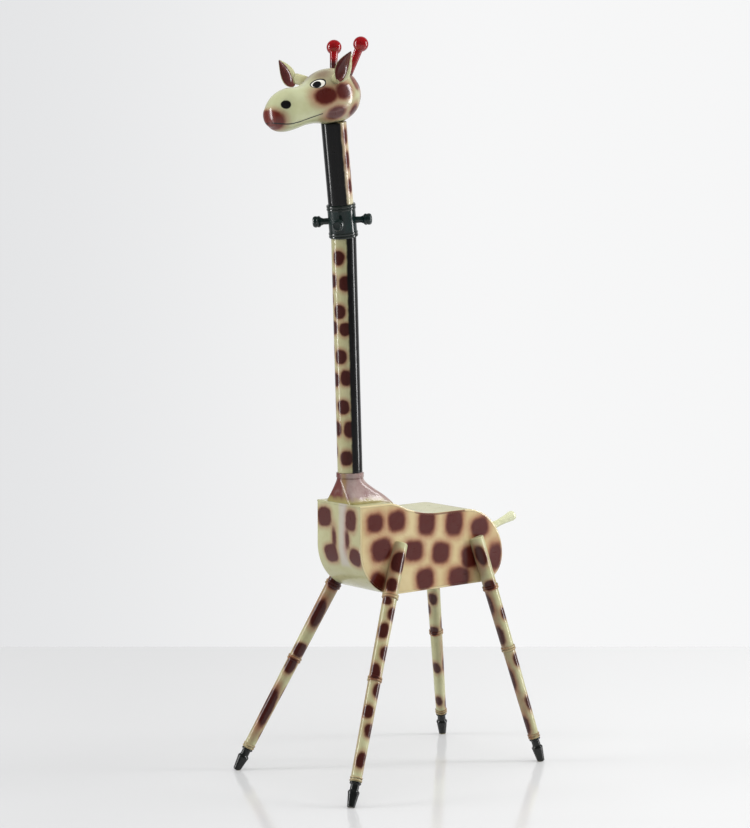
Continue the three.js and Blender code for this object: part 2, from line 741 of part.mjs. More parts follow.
// The head and what it carries. Its seat and bore are square to the neck, and the rest is rolled.
function addHead(parent) {
  const roll = new THREE.Matrix4().makeRotationY(radians(HEAD.roll));
  const bore = cylinder(NECK.headSpigot + GAP, -NECK.radius, NECK.headSpigotLength + GAP, FACETS.bore);
  const seat = box([-FAR, -FAR, -FAR], [FAR, FAR, 0]);
  let carved = headSolid();
  for (const [side, name] of [[1, 'left'], [-1, 'right']]) {
    const earHole = cylinder(EAR.stem + GAP, -EAR.socket - GAP, EAR.stem, FACETS.horn);
    const hornHole = cylinder(HORN.foot + GAP, -HORN.socket - GAP, HORN.length / 2, FACETS.horn);
    carved = carved.subtract(toSolid(earHole, stalkFrame(side).frame));
    carved = carved.subtract(toSolid(hornHole, hornFrame(side)));
    addMesh(parent, `ear_${name}`, toGeometry(earSolid(side)), FINISH.ear, roll);
    const horn = roll.clone().multiply(hornFrame(side));
    addMesh(parent, `horn_${name}`, turned(hornProfile(), FACETS.horn), FINISH.horn, horn);
  }
  const rolled = toSolid(toGeometry(carved), roll);
  const head = rolled.subtract(toSolid(bore)).subtract(toSolid(seat));
  addMesh(parent, 'head', toGeometry(head), FINISH.cream);
}

// ---------------------------------------------------------------- tail

// The tail's frame: its origin is on the rump's outer face, and +Z runs out to its tip.
function tailFrame() {
  const { upper, lower } = rumpArcs();
  const drop = TAIL.height - upper.z;
  const arc = drop > 0 ? upper : lower;
  const y = arc.y + Math.sqrt(arc.radius ** 2 - drop ** 2);
  const rise = radians(TAIL.rise);
  const direction = new THREE.Vector3(0, Math.cos(rise), Math.sin(rise));
  return frameAlong(new THREE.Vector3(0, y, TAIL.height), direction);
}

function tailTenon(clearance) {
  const from = -TAIL.tenonLength - clearance;
  const to = 2 * TAIL.standOff; // inside the tail
  return toSolid(cylinder(TAIL.tenon + clearance, from, to, FACETS.horn), tailFrame());
}

function addTail(parent) {
  const { length, root, waist, tip, bevel, standOff } = TAIL;
  const profile = [
    [0, standOff], [root - bevel, standOff], [root, standOff + bevel], [(root + waist) / 2, length * 0.22],
    [waist + bevel, length * 0.38], [waist, length * 0.58], [waist + bevel, length * 0.74],
    [tip - bevel, length * 0.88], [tip, length * 0.94], [tip - bevel, length - bevel],
    [tip - 3 * bevel, length], [0, length],
  ];
  const tail = toSolid(turned(profile, FACETS.tail), tailFrame()).add(tailTenon(0));
  addMesh(parent, 'tail', toGeometry(tail), FINISH.tail);
}

// ---------------------------------------------------------------- the giraffe

function buildGiraffe() {
  const giraffe = new THREE.Group();
  const neckHole = footTenon(GAP);
  const tailHole = tailTenon(GAP);
  const corners = [
    [FRONT_LEG, 1, 'front_left'], [FRONT_LEG, -1, 'front_right'],
    [REAR_LEG, 1, 'rear_left'], [REAR_LEG, -1, 'rear_right'],
  ];
  const holes = { 1: [], [-1]: [] };
  for (const [spec, side, name] of corners) holes[side].push(...addLeg(giraffe, spec, side, name));
  addPanel(giraffe, 1, holes[1]);
  addPanel(giraffe, -1, holes[-1]);
  addSkins(giraffe, neckHole, tailHole);
  addBlocks(giraffe, neckHole, tailHole);
  addSocket(giraffe, neckHole);
  addLowerNeck(giraffe);
  addTail(giraffe);

  const collar = new THREE.Group();
  collar.applyMatrix4(collarFrame());
  addCollar(collar);
  addPegs(collar);
  addUpperNeck(collar);
  const head = new THREE.Group();
  head.position.z = COLLAR.length + 2 * GAP + NECK.upperLength;
  addHead(head);
  collar.add(head);
  giraffe.add(collar);
  return giraffe;
}

// The finished part stands on the floor with the middle of its box at the origin.
const giraffe = buildGiraffe();
const extent = new THREE.Box3().setFromObject(giraffe, true);
const centre = extent.getCenter(new THREE.Vector3());
giraffe.position.set(-centre.x, -centre.y, -extent.min.z);
giraffe.updateMatrixWorld(true);

export default giraffe;
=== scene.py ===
"""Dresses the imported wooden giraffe: smooth turned and bent pieces, painted finishes, light and camera.

Shapes are worked out in millimetres in the giraffe's own frame (+Z up, it faces -Y, its left is +X)
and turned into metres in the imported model's frame when a mesh is made.
"""

from __future__ import annotations

import json
import logging
import math
from collections.abc import Callable, Sequence
from dataclasses import dataclass, field
from enum import Enum

import bmesh
import bpy
import numpy as np
from mathutils import Matrix, Vector

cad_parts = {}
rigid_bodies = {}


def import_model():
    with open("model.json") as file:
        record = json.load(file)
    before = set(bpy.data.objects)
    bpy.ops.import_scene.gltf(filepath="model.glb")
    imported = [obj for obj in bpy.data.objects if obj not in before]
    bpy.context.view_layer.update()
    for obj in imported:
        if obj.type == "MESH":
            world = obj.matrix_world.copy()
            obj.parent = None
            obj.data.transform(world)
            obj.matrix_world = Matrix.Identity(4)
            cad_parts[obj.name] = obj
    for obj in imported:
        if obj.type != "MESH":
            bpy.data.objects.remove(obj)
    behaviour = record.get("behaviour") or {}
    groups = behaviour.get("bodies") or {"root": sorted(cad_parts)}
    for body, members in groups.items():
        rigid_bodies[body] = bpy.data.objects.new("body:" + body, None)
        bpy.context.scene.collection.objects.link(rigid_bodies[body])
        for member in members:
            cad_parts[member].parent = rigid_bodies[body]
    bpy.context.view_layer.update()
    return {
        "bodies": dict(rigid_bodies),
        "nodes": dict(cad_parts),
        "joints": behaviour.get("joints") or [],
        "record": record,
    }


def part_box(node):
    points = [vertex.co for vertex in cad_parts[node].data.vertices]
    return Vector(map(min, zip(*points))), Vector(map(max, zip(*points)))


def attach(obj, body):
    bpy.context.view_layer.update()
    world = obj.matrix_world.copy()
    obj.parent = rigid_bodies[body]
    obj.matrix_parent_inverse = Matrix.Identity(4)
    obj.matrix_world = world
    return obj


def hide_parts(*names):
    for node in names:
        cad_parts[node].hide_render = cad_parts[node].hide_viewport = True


LOG = logging.getLogger("giraffe")
MM = 0.001
STAND = "stand"
SHARP_EDGE = 38.0
FAR = 99.0  # a distance in millimetres that no layer of paint reaches

Array = np.ndarray
Colour = tuple[float, float, float]
Profile = list[tuple[float, float]]
Fields = dict[str, Array]
Painter = Callable[[Array, Array], Fields]


class Side(Enum):
    """The two sides of the giraffe, by the sign of X."""

    LEFT = 1
    RIGHT = -1

    @property
    def word(self) -> str:
        """The side's name as it stands in node names."""
        return self.name.lower()


def srgb(red: int, green: int, blue: int) -> Colour:
    """Turns a display colour into the linear colour that a shader takes.

    Args:
        red: Red from 0 to 255.
        green: Green from 0 to 255.
        blue: Blue from 0 to 255.

    Returns:
        The linear colour.
    """

    def linear(value: int) -> float:
        """One channel's linear value."""
        share = value / 255
        return share / 12.92 if share <= 0.04045 else ((share + 0.055) / 1.055) ** 2.4

    return linear(red), linear(green), linear(blue)


# ---------------------------------------------------------------- shapes


@dataclass
class Shape:
    """A closed surface in millimetres: its points and its faces."""

    points: Array
    faces: list[tuple[int, ...]]

    def moved(self, matrix: Matrix) -> "Shape":
        """The same surface placed by a matrix."""
        turn = np.array(matrix.to_3x3())
        return Shape(self.points @ turn.T + np.array(matrix.translation), self.faces)

    def joined(self, other: "Shape") -> "Shape":
        """Puts this surface and another one into one piece.

        Args:
            other: The other surface.

        Returns:
            Both as one shape.
        """
        count = len(self.points)
        faces = self.faces + [tuple(i + count for i in face) for face in other.faces]
        return Shape(np.vstack([self.points, other.points]), faces)


def stack_rings(rings: Array) -> Shape:
    """Joins rings of points into a closed tube with a flat cap at each end.

    Args:
        rings: Points as rings by sides by three.

    Returns:
        The closed surface.
    """
    count, sides = rings.shape[:2]
    faces: list[tuple[int, ...]] = []
    for ring in range(count - 1):
        low = ring * sides
        for i in range(sides):
            j = (i + 1) % sides
            faces.append((low + i, low + j, low + sides + j, low + sides + i))
    faces.append(tuple(range(sides - 1, -1, -1)))
    faces.append(tuple(range((count - 1) * sides, count * sides)))
    return Shape(rings.reshape(-1, 3), faces)


def ease_corners(profile: Profile, radius: float) -> Profile:
    """Rounds each corner of a profile, as sandpaper and paint do.

    Args:
        profile: Pairs of radius and height.
        radius: How far from a corner the rounding starts.

    Returns:
        The eased profile.
    """
    eased = [profile[0]]
    for before, corner, after in zip(profile, profile[1:], profile[2:]):
        here = np.array(corner, float)
        back = np.array(before, float) - here
        ahead = np.array(after, float) - here
        lengths = np.linalg.norm(back), np.linalg.norm(ahead)
        if min(lengths) < 1e-6:
            continue
        cosine = float(np.clip(-(back @ ahead) / (lengths[0] * lengths[1]), -1, 1))
        if math.degrees(math.acos(cosine)) < 12:
            eased.append(corner)
            continue
        reach = min(radius, 0.45 * lengths[0], 0.45 * lengths[1])
        start = here + back / lengths[0] * reach
        end = here + ahead / lengths[1] * reach
        for share in (0.0, 0.3, 0.7, 1.0):
            point = (1 - share) ** 2 * start + 2 * share * (1 - share) * here + share**2 * end
            eased.append((float(point[0]), float(point[1])))
    eased.append(profile[-1])
    return eased


def squared_circle(sides: int, power: float) -> tuple[Array, Array]:
    """Goes round a circle that is squarer the smaller its power is.

    Args:
        sides: How many points go round.
        power: The power, 1 for a true circle.

    Returns:
        The points' two coordinates, from -1 to 1.
    """
    angles = np.linspace(0, 2 * math.pi, sides, endpoint=False)
    c, s = np.cos(angles), np.sin(angles)
    return np.sign(c) * np.abs(c) ** power, np.sign(s) * np.abs(s) ** power


def divided(start: tuple[float, float], end: tuple[float, float], pieces: int) -> Profile:
    """Divides a straight stretch into equal pieces.

    Args:
        start: Where the stretch starts.
        end: Where it ends.
        pieces: How many pieces it becomes.

    Returns:
        The end of each piece.
    """
    run, rise = end[0] - start[0], end[1] - start[1]
    return [(start[0] + run * i / pieces, start[1] + rise * i / pieces) for i in range(1, pieces + 1)]


def refine(profile: Profile, step: float) -> Profile:
    """Adds points so that no stretch of a profile is longer than a step.

    Args:
        profile: Pairs of radius and height.
        step: The longest stretch allowed.

    Returns:
        The profile with its long stretches divided.
    """
    fine = [profile[0]]
    for start, end in zip(profile, profile[1:]):
        fine.extend(divided(start, end, max(1, math.ceil(math.dist(start, end) / step))))
    return fine


def turned(profile: Profile, sides: int = 64, ease: float = 0.8, step: float = 4.0) -> Shape:
    """Turns a profile round the Z axis, as on a lathe.

    Args:
        profile: Pairs of radius and height from one end to the other, without the axis.
        sides: How many points go round.
        ease: How much each corner is rounded.
        step: The longest stretch between two rings.

    Returns:
        The turned surface.
    """
    rows = np.array(refine(ease_corners(profile, ease), step))
    angles = np.linspace(0, 2 * math.pi, sides, endpoint=False)
    rings = np.empty((len(rows), sides, 3))
    rings[:, :, 0] = rows[:, :1] * np.cos(angles)
    rings[:, :, 1] = rows[:, :1] * np.sin(angles)
    rings[:, :, 2] = rows[:, 1:]
    return stack_rings(rings)


def frame_along(place: Vector, direction: Vector) -> Matrix:
    """A frame at a place whose +Z points along a direction."""
    turn = Vector((0, 0, 1)).rotation_difference(direction.normalized())
    return Matrix.Translation(place) @ turn.to_matrix().to_4x4()


def in_frame(frame: Matrix, points: Array) -> Array:
    """Points as a frame sees them."""
    inverse = frame.inverted()
    return points @ np.array(inverse.to_3x3()).T + np.array(inverse.translation)


def smooth_rows(rows: Array, between: int) -> Array:
    """Runs a smooth curve through rows of numbers.

    Args:
        rows: The rows that the curve passes through.
        between: How many steps there are from one row to the next.

    Returns:
        The rows with the steps added.
    """
    padded = np.vstack([2 * rows[0] - rows[1], rows, 2 * rows[-1] - rows[-2]])
    out = []
    for i in range(1, len(padded) - 2):
        before, start, end, after = padded[i - 1 : i + 3]
        for k in range(between):
            t = k / between
            out.append(
                0.5
                * (
                    2 * start
                    + (end - before) * t
                    + (2 * before - 5 * start + 4 * end - after) * t**2
                    + (3 * start - before - 3 * end + after) * t**3
                )
            )
    out.append(padded[-2])
    return np.array(out)


# ---------------------------------------------------------------- paint masks


@dataclass(frozen=True)
class Spot:
    """One painted spot on an unrolled surface, in millimetres.

    On a pole, along is the height and across the bearing in degrees.
    """

    along: float
    across: float
    half_along: float
    half_across: float
    lean: float = 0.0


def spot_distance(along: Array, across: Array, spots: Sequence[Spot], square: float) -> Array:
    """How far each point lies outside the nearest spot, negative inside it.

    Args:
        along: The points' first coordinate.
        across: The points' second coordinate.
        spots: The spots.
        square: How square a spot is, 2 for an ellipse.

    Returns:
        One distance for each point.
    """
    nearest = np.full(along.shape, np.inf)
    for spot in spots:
        u, v = along - spot.along, across - spot.across
        c, s = math.cos(math.radians(spot.lean)), math.sin(math.radians(spot.lean))
        u, v = u * c + v * s, v * c - u * s
        reach = np.abs(u / spot.half_along) ** square + np.abs(v / spot.half_across) ** square
        reach = reach ** (1 / square)
        nearest = np.minimum(nearest, (reach - 1) * min(spot.half_along, spot.half_across))
    return nearest


def pole_spot_distance(points: Array, spots: Sequence[Spot], square: float = 2.3) -> Array:
    """How far each point on a pole that stands on Z lies outside the nearest spot.

    Args:
        points: The points in the pole's frame.
        spots: The spots, by height and bearing.
        square: How square a spot is, 2 for an ellipse.

    Returns:
        One distance for each point.
    """
    radius = np.hypot(points[:, 0], points[:, 1])
    bearing = np.degrees(np.arctan2(points[:, 1], points[:, 0]))
    nearest = np.full(len(points), np.inf)
    for spot in spots:
        arc = np.radians((bearing - spot.across + 180) % 360 - 180) * radius
        centred = Spot(spot.along, 0, spot.half_along, spot.half_across, spot.lean)
        nearest = np.minimum(nearest, spot_distance(points[:, 2], arc, [centred], square))
    return nearest


def blob_distance(points: Array, centre: Sequence[float], radii: Sequence[float]) -> Array:
    """How far each point lies outside an ellipsoid, roughly, and negative inside it."""
    scaled = (points - np.array(centre)) / np.array(radii)
    return (np.linalg.norm(scaled, axis=1) - 1) * min(radii)


# ---------------------------------------------------------------- shader groups


class Tree:
    """Short ways to add and join the nodes of one tree."""

    def __init__(self, tree: bpy.types.NodeTree) -> None:
        """Keeps the tree that the nodes go into."""
        self.tree = tree
        self.column = 0

    def add(
        self, kind: str, inputs: dict[str | int, object] | None = None, **settings: object
    ) -> bpy.types.Node:
        """Adds a node.

        Args:
            kind: The node's type name.
            inputs: Values or sockets for its inputs, by name or number.
            **settings: The node's own properties.

        Returns:
            The new node.
        """
        node = self.tree.nodes.new(kind)
        node.location = (180 * self.column, 0)
        self.column += 1
        for name, value in settings.items():
            setattr(node, name, value)
        for name, value in (inputs or {}).items():
            self.feed(node, name, value)
        return node

    def feed(self, node: bpy.types.Node, name: str | int, value: object) -> None:
        """Sets a node's input to a value, or joins it to a socket.

        Args:
            node: The node.
            name: The input's name or number.
            value: A number, a vector, a colour or the socket to join.
        """
        socket = node.inputs[name]
        if isinstance(value, bpy.types.NodeSocket):
            self.tree.links.new(value, socket)
        elif isinstance(value, tuple) and len(value) == 3 and socket.type == "RGBA":
            socket.default_value = (*value, 1.0)
        else:
            socket.default_value = value

    def maths(
        self, operation: str, first: object, second: object = 0.0, clamp: bool = False
    ) -> bpy.types.NodeSocket:
        """The result of one sum on two values or sockets."""
        node = self.add("ShaderNodeMath", {0: first, 1: second}, operation=operation, use_clamp=clamp)
        return node.outputs[0]

    def mix(self, share: object, first: object, second: object) -> bpy.types.NodeSocket:
        """A colour between two colours."""
        node = self.add("ShaderNodeMix", {0: share, 6: first, 7: second}, data_type="RGBA")
        return node.outputs[2]

    def noise(self, vector: bpy.types.NodeSocket, scale: float, detail: float = 3.0) -> bpy.types.NodeSocket:
        """A noise value from 0 to 1 at a place."""
        node = self.add("ShaderNodeTexNoise", {"Vector": vector, "Scale": scale, "Detail": detail})
        return node.outputs["Fac"]


@dataclass(frozen=True)
class GroupSocket:
    """One socket of a shader node group."""

    name: str
    kind: str = "NodeSocketFloat"
    value: float | Colour = 0.0
    output: bool = False


def new_group(
    name: str, sockets: Sequence[GroupSocket]
) -> tuple[Tree, dict[str, bpy.types.NodeSocket], bpy.types.Node]:
    """Starts a shader node group.

    Args:
        name: The group's name.
        sockets: Its inputs and outputs.

    Returns:
        The tree, its input sockets by name, and its output node.
    """
    tree = bpy.data.node_groups.new(name, "ShaderNodeTree")
    for item in sockets:
        way = "OUTPUT" if item.output else "INPUT"
        socket = tree.interface.new_socket(name=item.name, in_out=way, socket_type=item.kind)
        if not item.output and item.kind == "NodeSocketColor":
            socket.default_value = (*item.value, 1.0)
        elif not item.output and item.kind == "NodeSocketFloat":
            socket.default_value = item.value
    maker = Tree(tree)
    entry = maker.add("NodeGroupInput")
    leave = maker.add("NodeGroupOutput")
    return maker, {socket.name: socket for socket in entry.outputs if socket.name}, leave


COLOUR = "NodeSocketColor"
VECTOR = "NodeSocketVector"

# How fine each effect is, as the scale of its noise in metres.
WOBBLE_SCALE = 75.0
WAVE_SCALE = 60.0
GRAIN_SCALE = 420.0
FLECK_SCALE = 900.0
WOBBLE_REACH = 4.0
GRIME = (0.09, 0.07, 0.05)


def make_layer_group() -> bpy.types.NodeTree:
    """Makes one coat of sprayed paint, which covers a colour where a distance is negative.

    Returns:
        The group, whose coat has a soft, uneven edge.
    """
    maker, given, leave = new_group(
        "sprayed_layer",
        [
            GroupSocket("Under", COLOUR, (0.5, 0.5, 0.5)), GroupSocket("Paint", COLOUR, (0.1, 0.02, 0.02)),
            GroupSocket("Distance"), GroupSocket("Edge"), GroupSocket("Softness", value=1.0),
            GroupSocket("Wobble", value=1.0), GroupSocket("Cover", value=1.0), GroupSocket("Place", VECTOR),
            GroupSocket("Colour", COLOUR, output=True), GroupSocket("Mask", output=True),
        ],
    )
    drift = maker.maths("SUBTRACT", maker.noise(given["Place"], WOBBLE_SCALE, 2.0), 0.5)
    drift = maker.maths("MULTIPLY", maker.maths("MULTIPLY", drift, WOBBLE_REACH), given["Wobble"])
    depth = maker.maths("SUBTRACT", given["Edge"], maker.maths("ADD", given["Distance"], drift))
    spread = maker.add("ShaderNodeMapRange", {"Value": depth}, interpolation_type="SMOOTHSTEP")
    maker.feed(spread, "From Min", maker.maths("MULTIPLY", given["Softness"], -1.0))
    maker.feed(spread, "From Max", given["Softness"])
    mask = maker.maths("MULTIPLY", spread.outputs[0], given["Cover"], clamp=True)
    maker.feed(leave, "Colour", maker.mix(mask, given["Under"], given["Paint"]))
    maker.feed(leave, "Mask", mask)
    return maker.tree


def make_brushwork_group() -> bpy.types.NodeTree:
    """Makes old gloss paint on wood.

    Returns:
        The group, which gives clouded colour, fine grime and the height of brush marks and grain.
    """
    maker, given, leave = new_group(
        "old_gloss_paint",
        [
            GroupSocket("Colour A", COLOUR, (0.5, 0.5, 0.5)),
            GroupSocket("Colour B", COLOUR, (0.4, 0.4, 0.4)), GroupSocket("Clouds", value=9.0),
            GroupSocket("Grime", value=0.1), GroupSocket("Grain", VECTOR), GroupSocket("Place", VECTOR),
            GroupSocket("Colour", COLOUR, output=True), GroupSocket("Height", output=True),
            GroupSocket("Dull", output=True),
        ],
    )
    clouds = maker.add("ShaderNodeTexNoise", {"Vector": given["Place"], "Detail": 4.0, "Roughness": 0.6})
    maker.feed(clouds, "Scale", given["Clouds"])
    clouded = {"Value": clouds.outputs["Fac"], "From Min": 0.32, "From Max": 0.68}
    soft = maker.add("ShaderNodeMapRange", clouded)
    ground = maker.mix(soft.outputs[0], given["Colour A"], given["Colour B"])
    stretched = maker.add("ShaderNodeMapping", {"Vector": given["Place"], "Scale": given["Grain"]})
    grain = maker.noise(stretched.outputs[0], GRAIN_SCALE, 3.0)
    flecks = maker.noise(given["Place"], FLECK_SCALE, 2.0)
    grit = maker.add("ShaderNodeMapRange", {"Value": flecks, "From Min": 0.66, "From Max": 0.74})
    dirt = maker.maths("MULTIPLY", grit.outputs[0], given["Grime"], clamp=True)
    maker.feed(leave, "Colour", maker.mix(dirt, ground, GRIME))
    waves = maker.noise(given["Place"], WAVE_SCALE, 2.0)
    height = maker.maths("ADD", maker.maths("MULTIPLY", grain, 0.25), waves)
    maker.feed(leave, "Height", height)
    maker.feed(leave, "Dull", maker.maths("MULTIPLY", maker.maths("ADD", grain, waves), 0.5))
    return maker.tree


class Groups:
    """The shader groups that the finishes share."""

    def __init__(self) -> None:
        """Builds each group once."""
        self.layer = make_layer_group()
        self.brushwork = make_brushwork_group()


# ---------------------------------------------------------------- finishes

MAROON = srgb(72, 15, 10)
SPOT_HALO = srgb(142, 62, 44)
DEEP_MAROON = srgb(56, 12, 10)
BLACK = srgb(7, 7, 8)


@dataclass(frozen=True)
class Layer:
    """One colour sprayed or brushed over the ground where a painted mask says."""

    mask: str
    colour: Colour
    edge: float = 0.0
    softness: float = 1.0
    wobble: float = 1.0
    cover: float = 1.0


def spot_layers(
    softness: float = 2.0, halo: float = 7.0, haze: float = 0.75, colour: Colour = MAROON
) -> tuple[Layer, ...]:
    """The soft reddish halo round a spot, and the spot.

    Args:
        softness: How gently the spot's edge fades, in millimetres.
        halo: How wide the halo is.
        haze: How strongly the halo covers.
        colour: The spot's colour.

    Returns:
        The two layers, halo first.
    """
    return (
        Layer("spots", SPOT_HALO, edge=halo * 0.45, softness=halo, wobble=1.2, cover=haze),
        Layer("spots", colour, edge=0.0, softness=softness, wobble=1.0, cover=0.97),
    )


def new_material(name: str) -> tuple[bpy.types.Material, Tree, bpy.types.NodeSocket]:
    """Starts a material without nodes.

    Args:
        name: The material's name.

    Returns:
        The material, its tree and the place on the object.
    """
    material = bpy.data.materials.new(name)
    material.use_nodes = True
    material.node_tree.nodes.clear()
    maker = Tree(material.node_tree)
    return material, maker, maker.add("ShaderNodeTexCoord").outputs["Object"]


def show_shader(maker: Tree, shader: bpy.types.Node) -> None:
    """Joins a shader to its material's surface."""
    end = maker.add("ShaderNodeOutputMaterial")
    maker.tree.links.new(shader.outputs[0], end.inputs["Surface"])


@dataclass(frozen=True)
class Paint:
    """Gloss paint on wood, with layers over its ground colour."""

    name: str
    ground: Colour
    cloud: Colour
    layers: tuple[Layer, ...] = ()
    roughness: tuple[float, float] = (0.24, 0.4)
    sheen: float = 0.1
    coat: float = 0.45
    coat_roughness: float = 0.08
    clouds: float = 9.0
    grime: float = 0.12
    grain: tuple[float, float, float] = (1.0, 1.0, 0.12)
    bump: float = 0.12

    def build(self, groups: Groups) -> bpy.types.Material:
        """Makes the material.

        Args:
            groups: The shader groups that finishes share.

        Returns:
            The finished material.
        """
        material, maker, place = new_material(self.name)
        brushed = {
            "Colour A": self.ground, "Colour B": self.cloud, "Clouds": self.clouds, "Grime": self.grime,
            "Grain": self.grain, "Place": place,
        }
        base = maker.add("ShaderNodeGroup", brushed, node_tree=groups.brushwork)
        colour = base.outputs["Colour"]
        for layer in self.layers:
            mask = maker.add("ShaderNodeAttribute", attribute_name=layer.mask)
            sprayed = {
                "Under": colour, "Paint": layer.colour, "Distance": mask.outputs["Fac"], "Edge": layer.edge,
                "Softness": layer.softness, "Wobble": layer.wobble, "Cover": layer.cover, "Place": place,
            }
            coat = maker.add("ShaderNodeGroup", sprayed, node_tree=groups.layer)
            colour = coat.outputs["Colour"]
        dull = {"Value": base.outputs["Dull"], "From Min": 0.3, "From Max": 0.7}
        rough = maker.add("ShaderNodeMapRange", dull)
        maker.feed(rough, "To Min", self.roughness[0])
        maker.feed(rough, "To Max", self.roughness[1])
        height = {"Height": base.outputs["Height"], "Strength": self.bump, "Distance": MM}
        relief = maker.add("ShaderNodeBump", height)
        surface = {
            "Base Color": colour, "Roughness": rough.outputs[0], "Normal": relief.outputs[0],
            "Specular IOR Level": self.sheen, "Coat Weight": self.coat,
            "Coat Roughness": self.coat_roughness, "Coat Normal": relief.outputs[0],
        }
        show_shader(maker, maker.add("ShaderNodeBsdfPrincipled", surface))
        return material


@dataclass(frozen=True)
class BareWood:
    """Unpainted softwood inside the body: rings of grain and a dull face."""

    name: str = "bare_softwood"
    early: Colour = srgb(198, 160, 110)
    late: Colour = srgb(160, 116, 70)
    fibre: Colour = srgb(120, 84, 50)

    def build(self) -> bpy.types.Material:
        """Makes the material.

        Returns:
            The finished material.
        """
        material, maker, place = new_material(self.name)
        along = maker.add("ShaderNodeMapping", {"Vector": place, "Scale": (0.15, 1.0, 1.0)}).outputs[0]
        rings = maker.add("ShaderNodeTexWave", {"Vector": along, "Scale": 45.0, "Distortion": 5.0})
        fibres = maker.noise(along, 700.0, 4.0)
        tone = maker.mix(rings.outputs["Fac"], self.early, self.late)
        tone = maker.mix(maker.maths("MULTIPLY", fibres, 0.4), tone, self.fibre)
        relief = maker.add("ShaderNodeBump", {"Height": fibres, "Strength": 0.3, "Distance": MM})
        surface = {"Base Color": tone, "Normal": relief.outputs[0], "Roughness": 0.7}
        show_shader(maker, maker.add("ShaderNodeBsdfPrincipled", surface))
        return material


@dataclass(frozen=True)
class ScrewSteel:
    """Zinc plated screws: dull bright metal with stains."""

    name: str = "screw_steel"
    bright: Colour = srgb(172, 174, 176)
    stained: Colour = srgb(112, 108, 98)

    def build(self) -> bpy.types.Material:
        """Makes the material.

        Returns:
            The finished material.
        """
        material, maker, place = new_material(self.name)
        stains = maker.noise(place, 300.0, 4.0)
        rough = maker.add("ShaderNodeMapRange", {"Value": stains, "To Min": 0.25, "To Max": 0.5})
        tone = maker.mix(stains, self.bright, self.stained)
        surface = {"Base Color": tone, "Metallic": 1.0, "Roughness": rough.outputs[0]}
        show_shader(maker, maker.add("ShaderNodeBsdfPrincipled", surface))
        return material


CREAM = srgb(188, 187, 148)
CREAM_SHADE = srgb(170, 166, 124)
TAN = srgb(205, 190, 147)
TAN_SHADE = srgb(190, 168, 122)
DARK_GREEN = srgb(16, 38, 37)

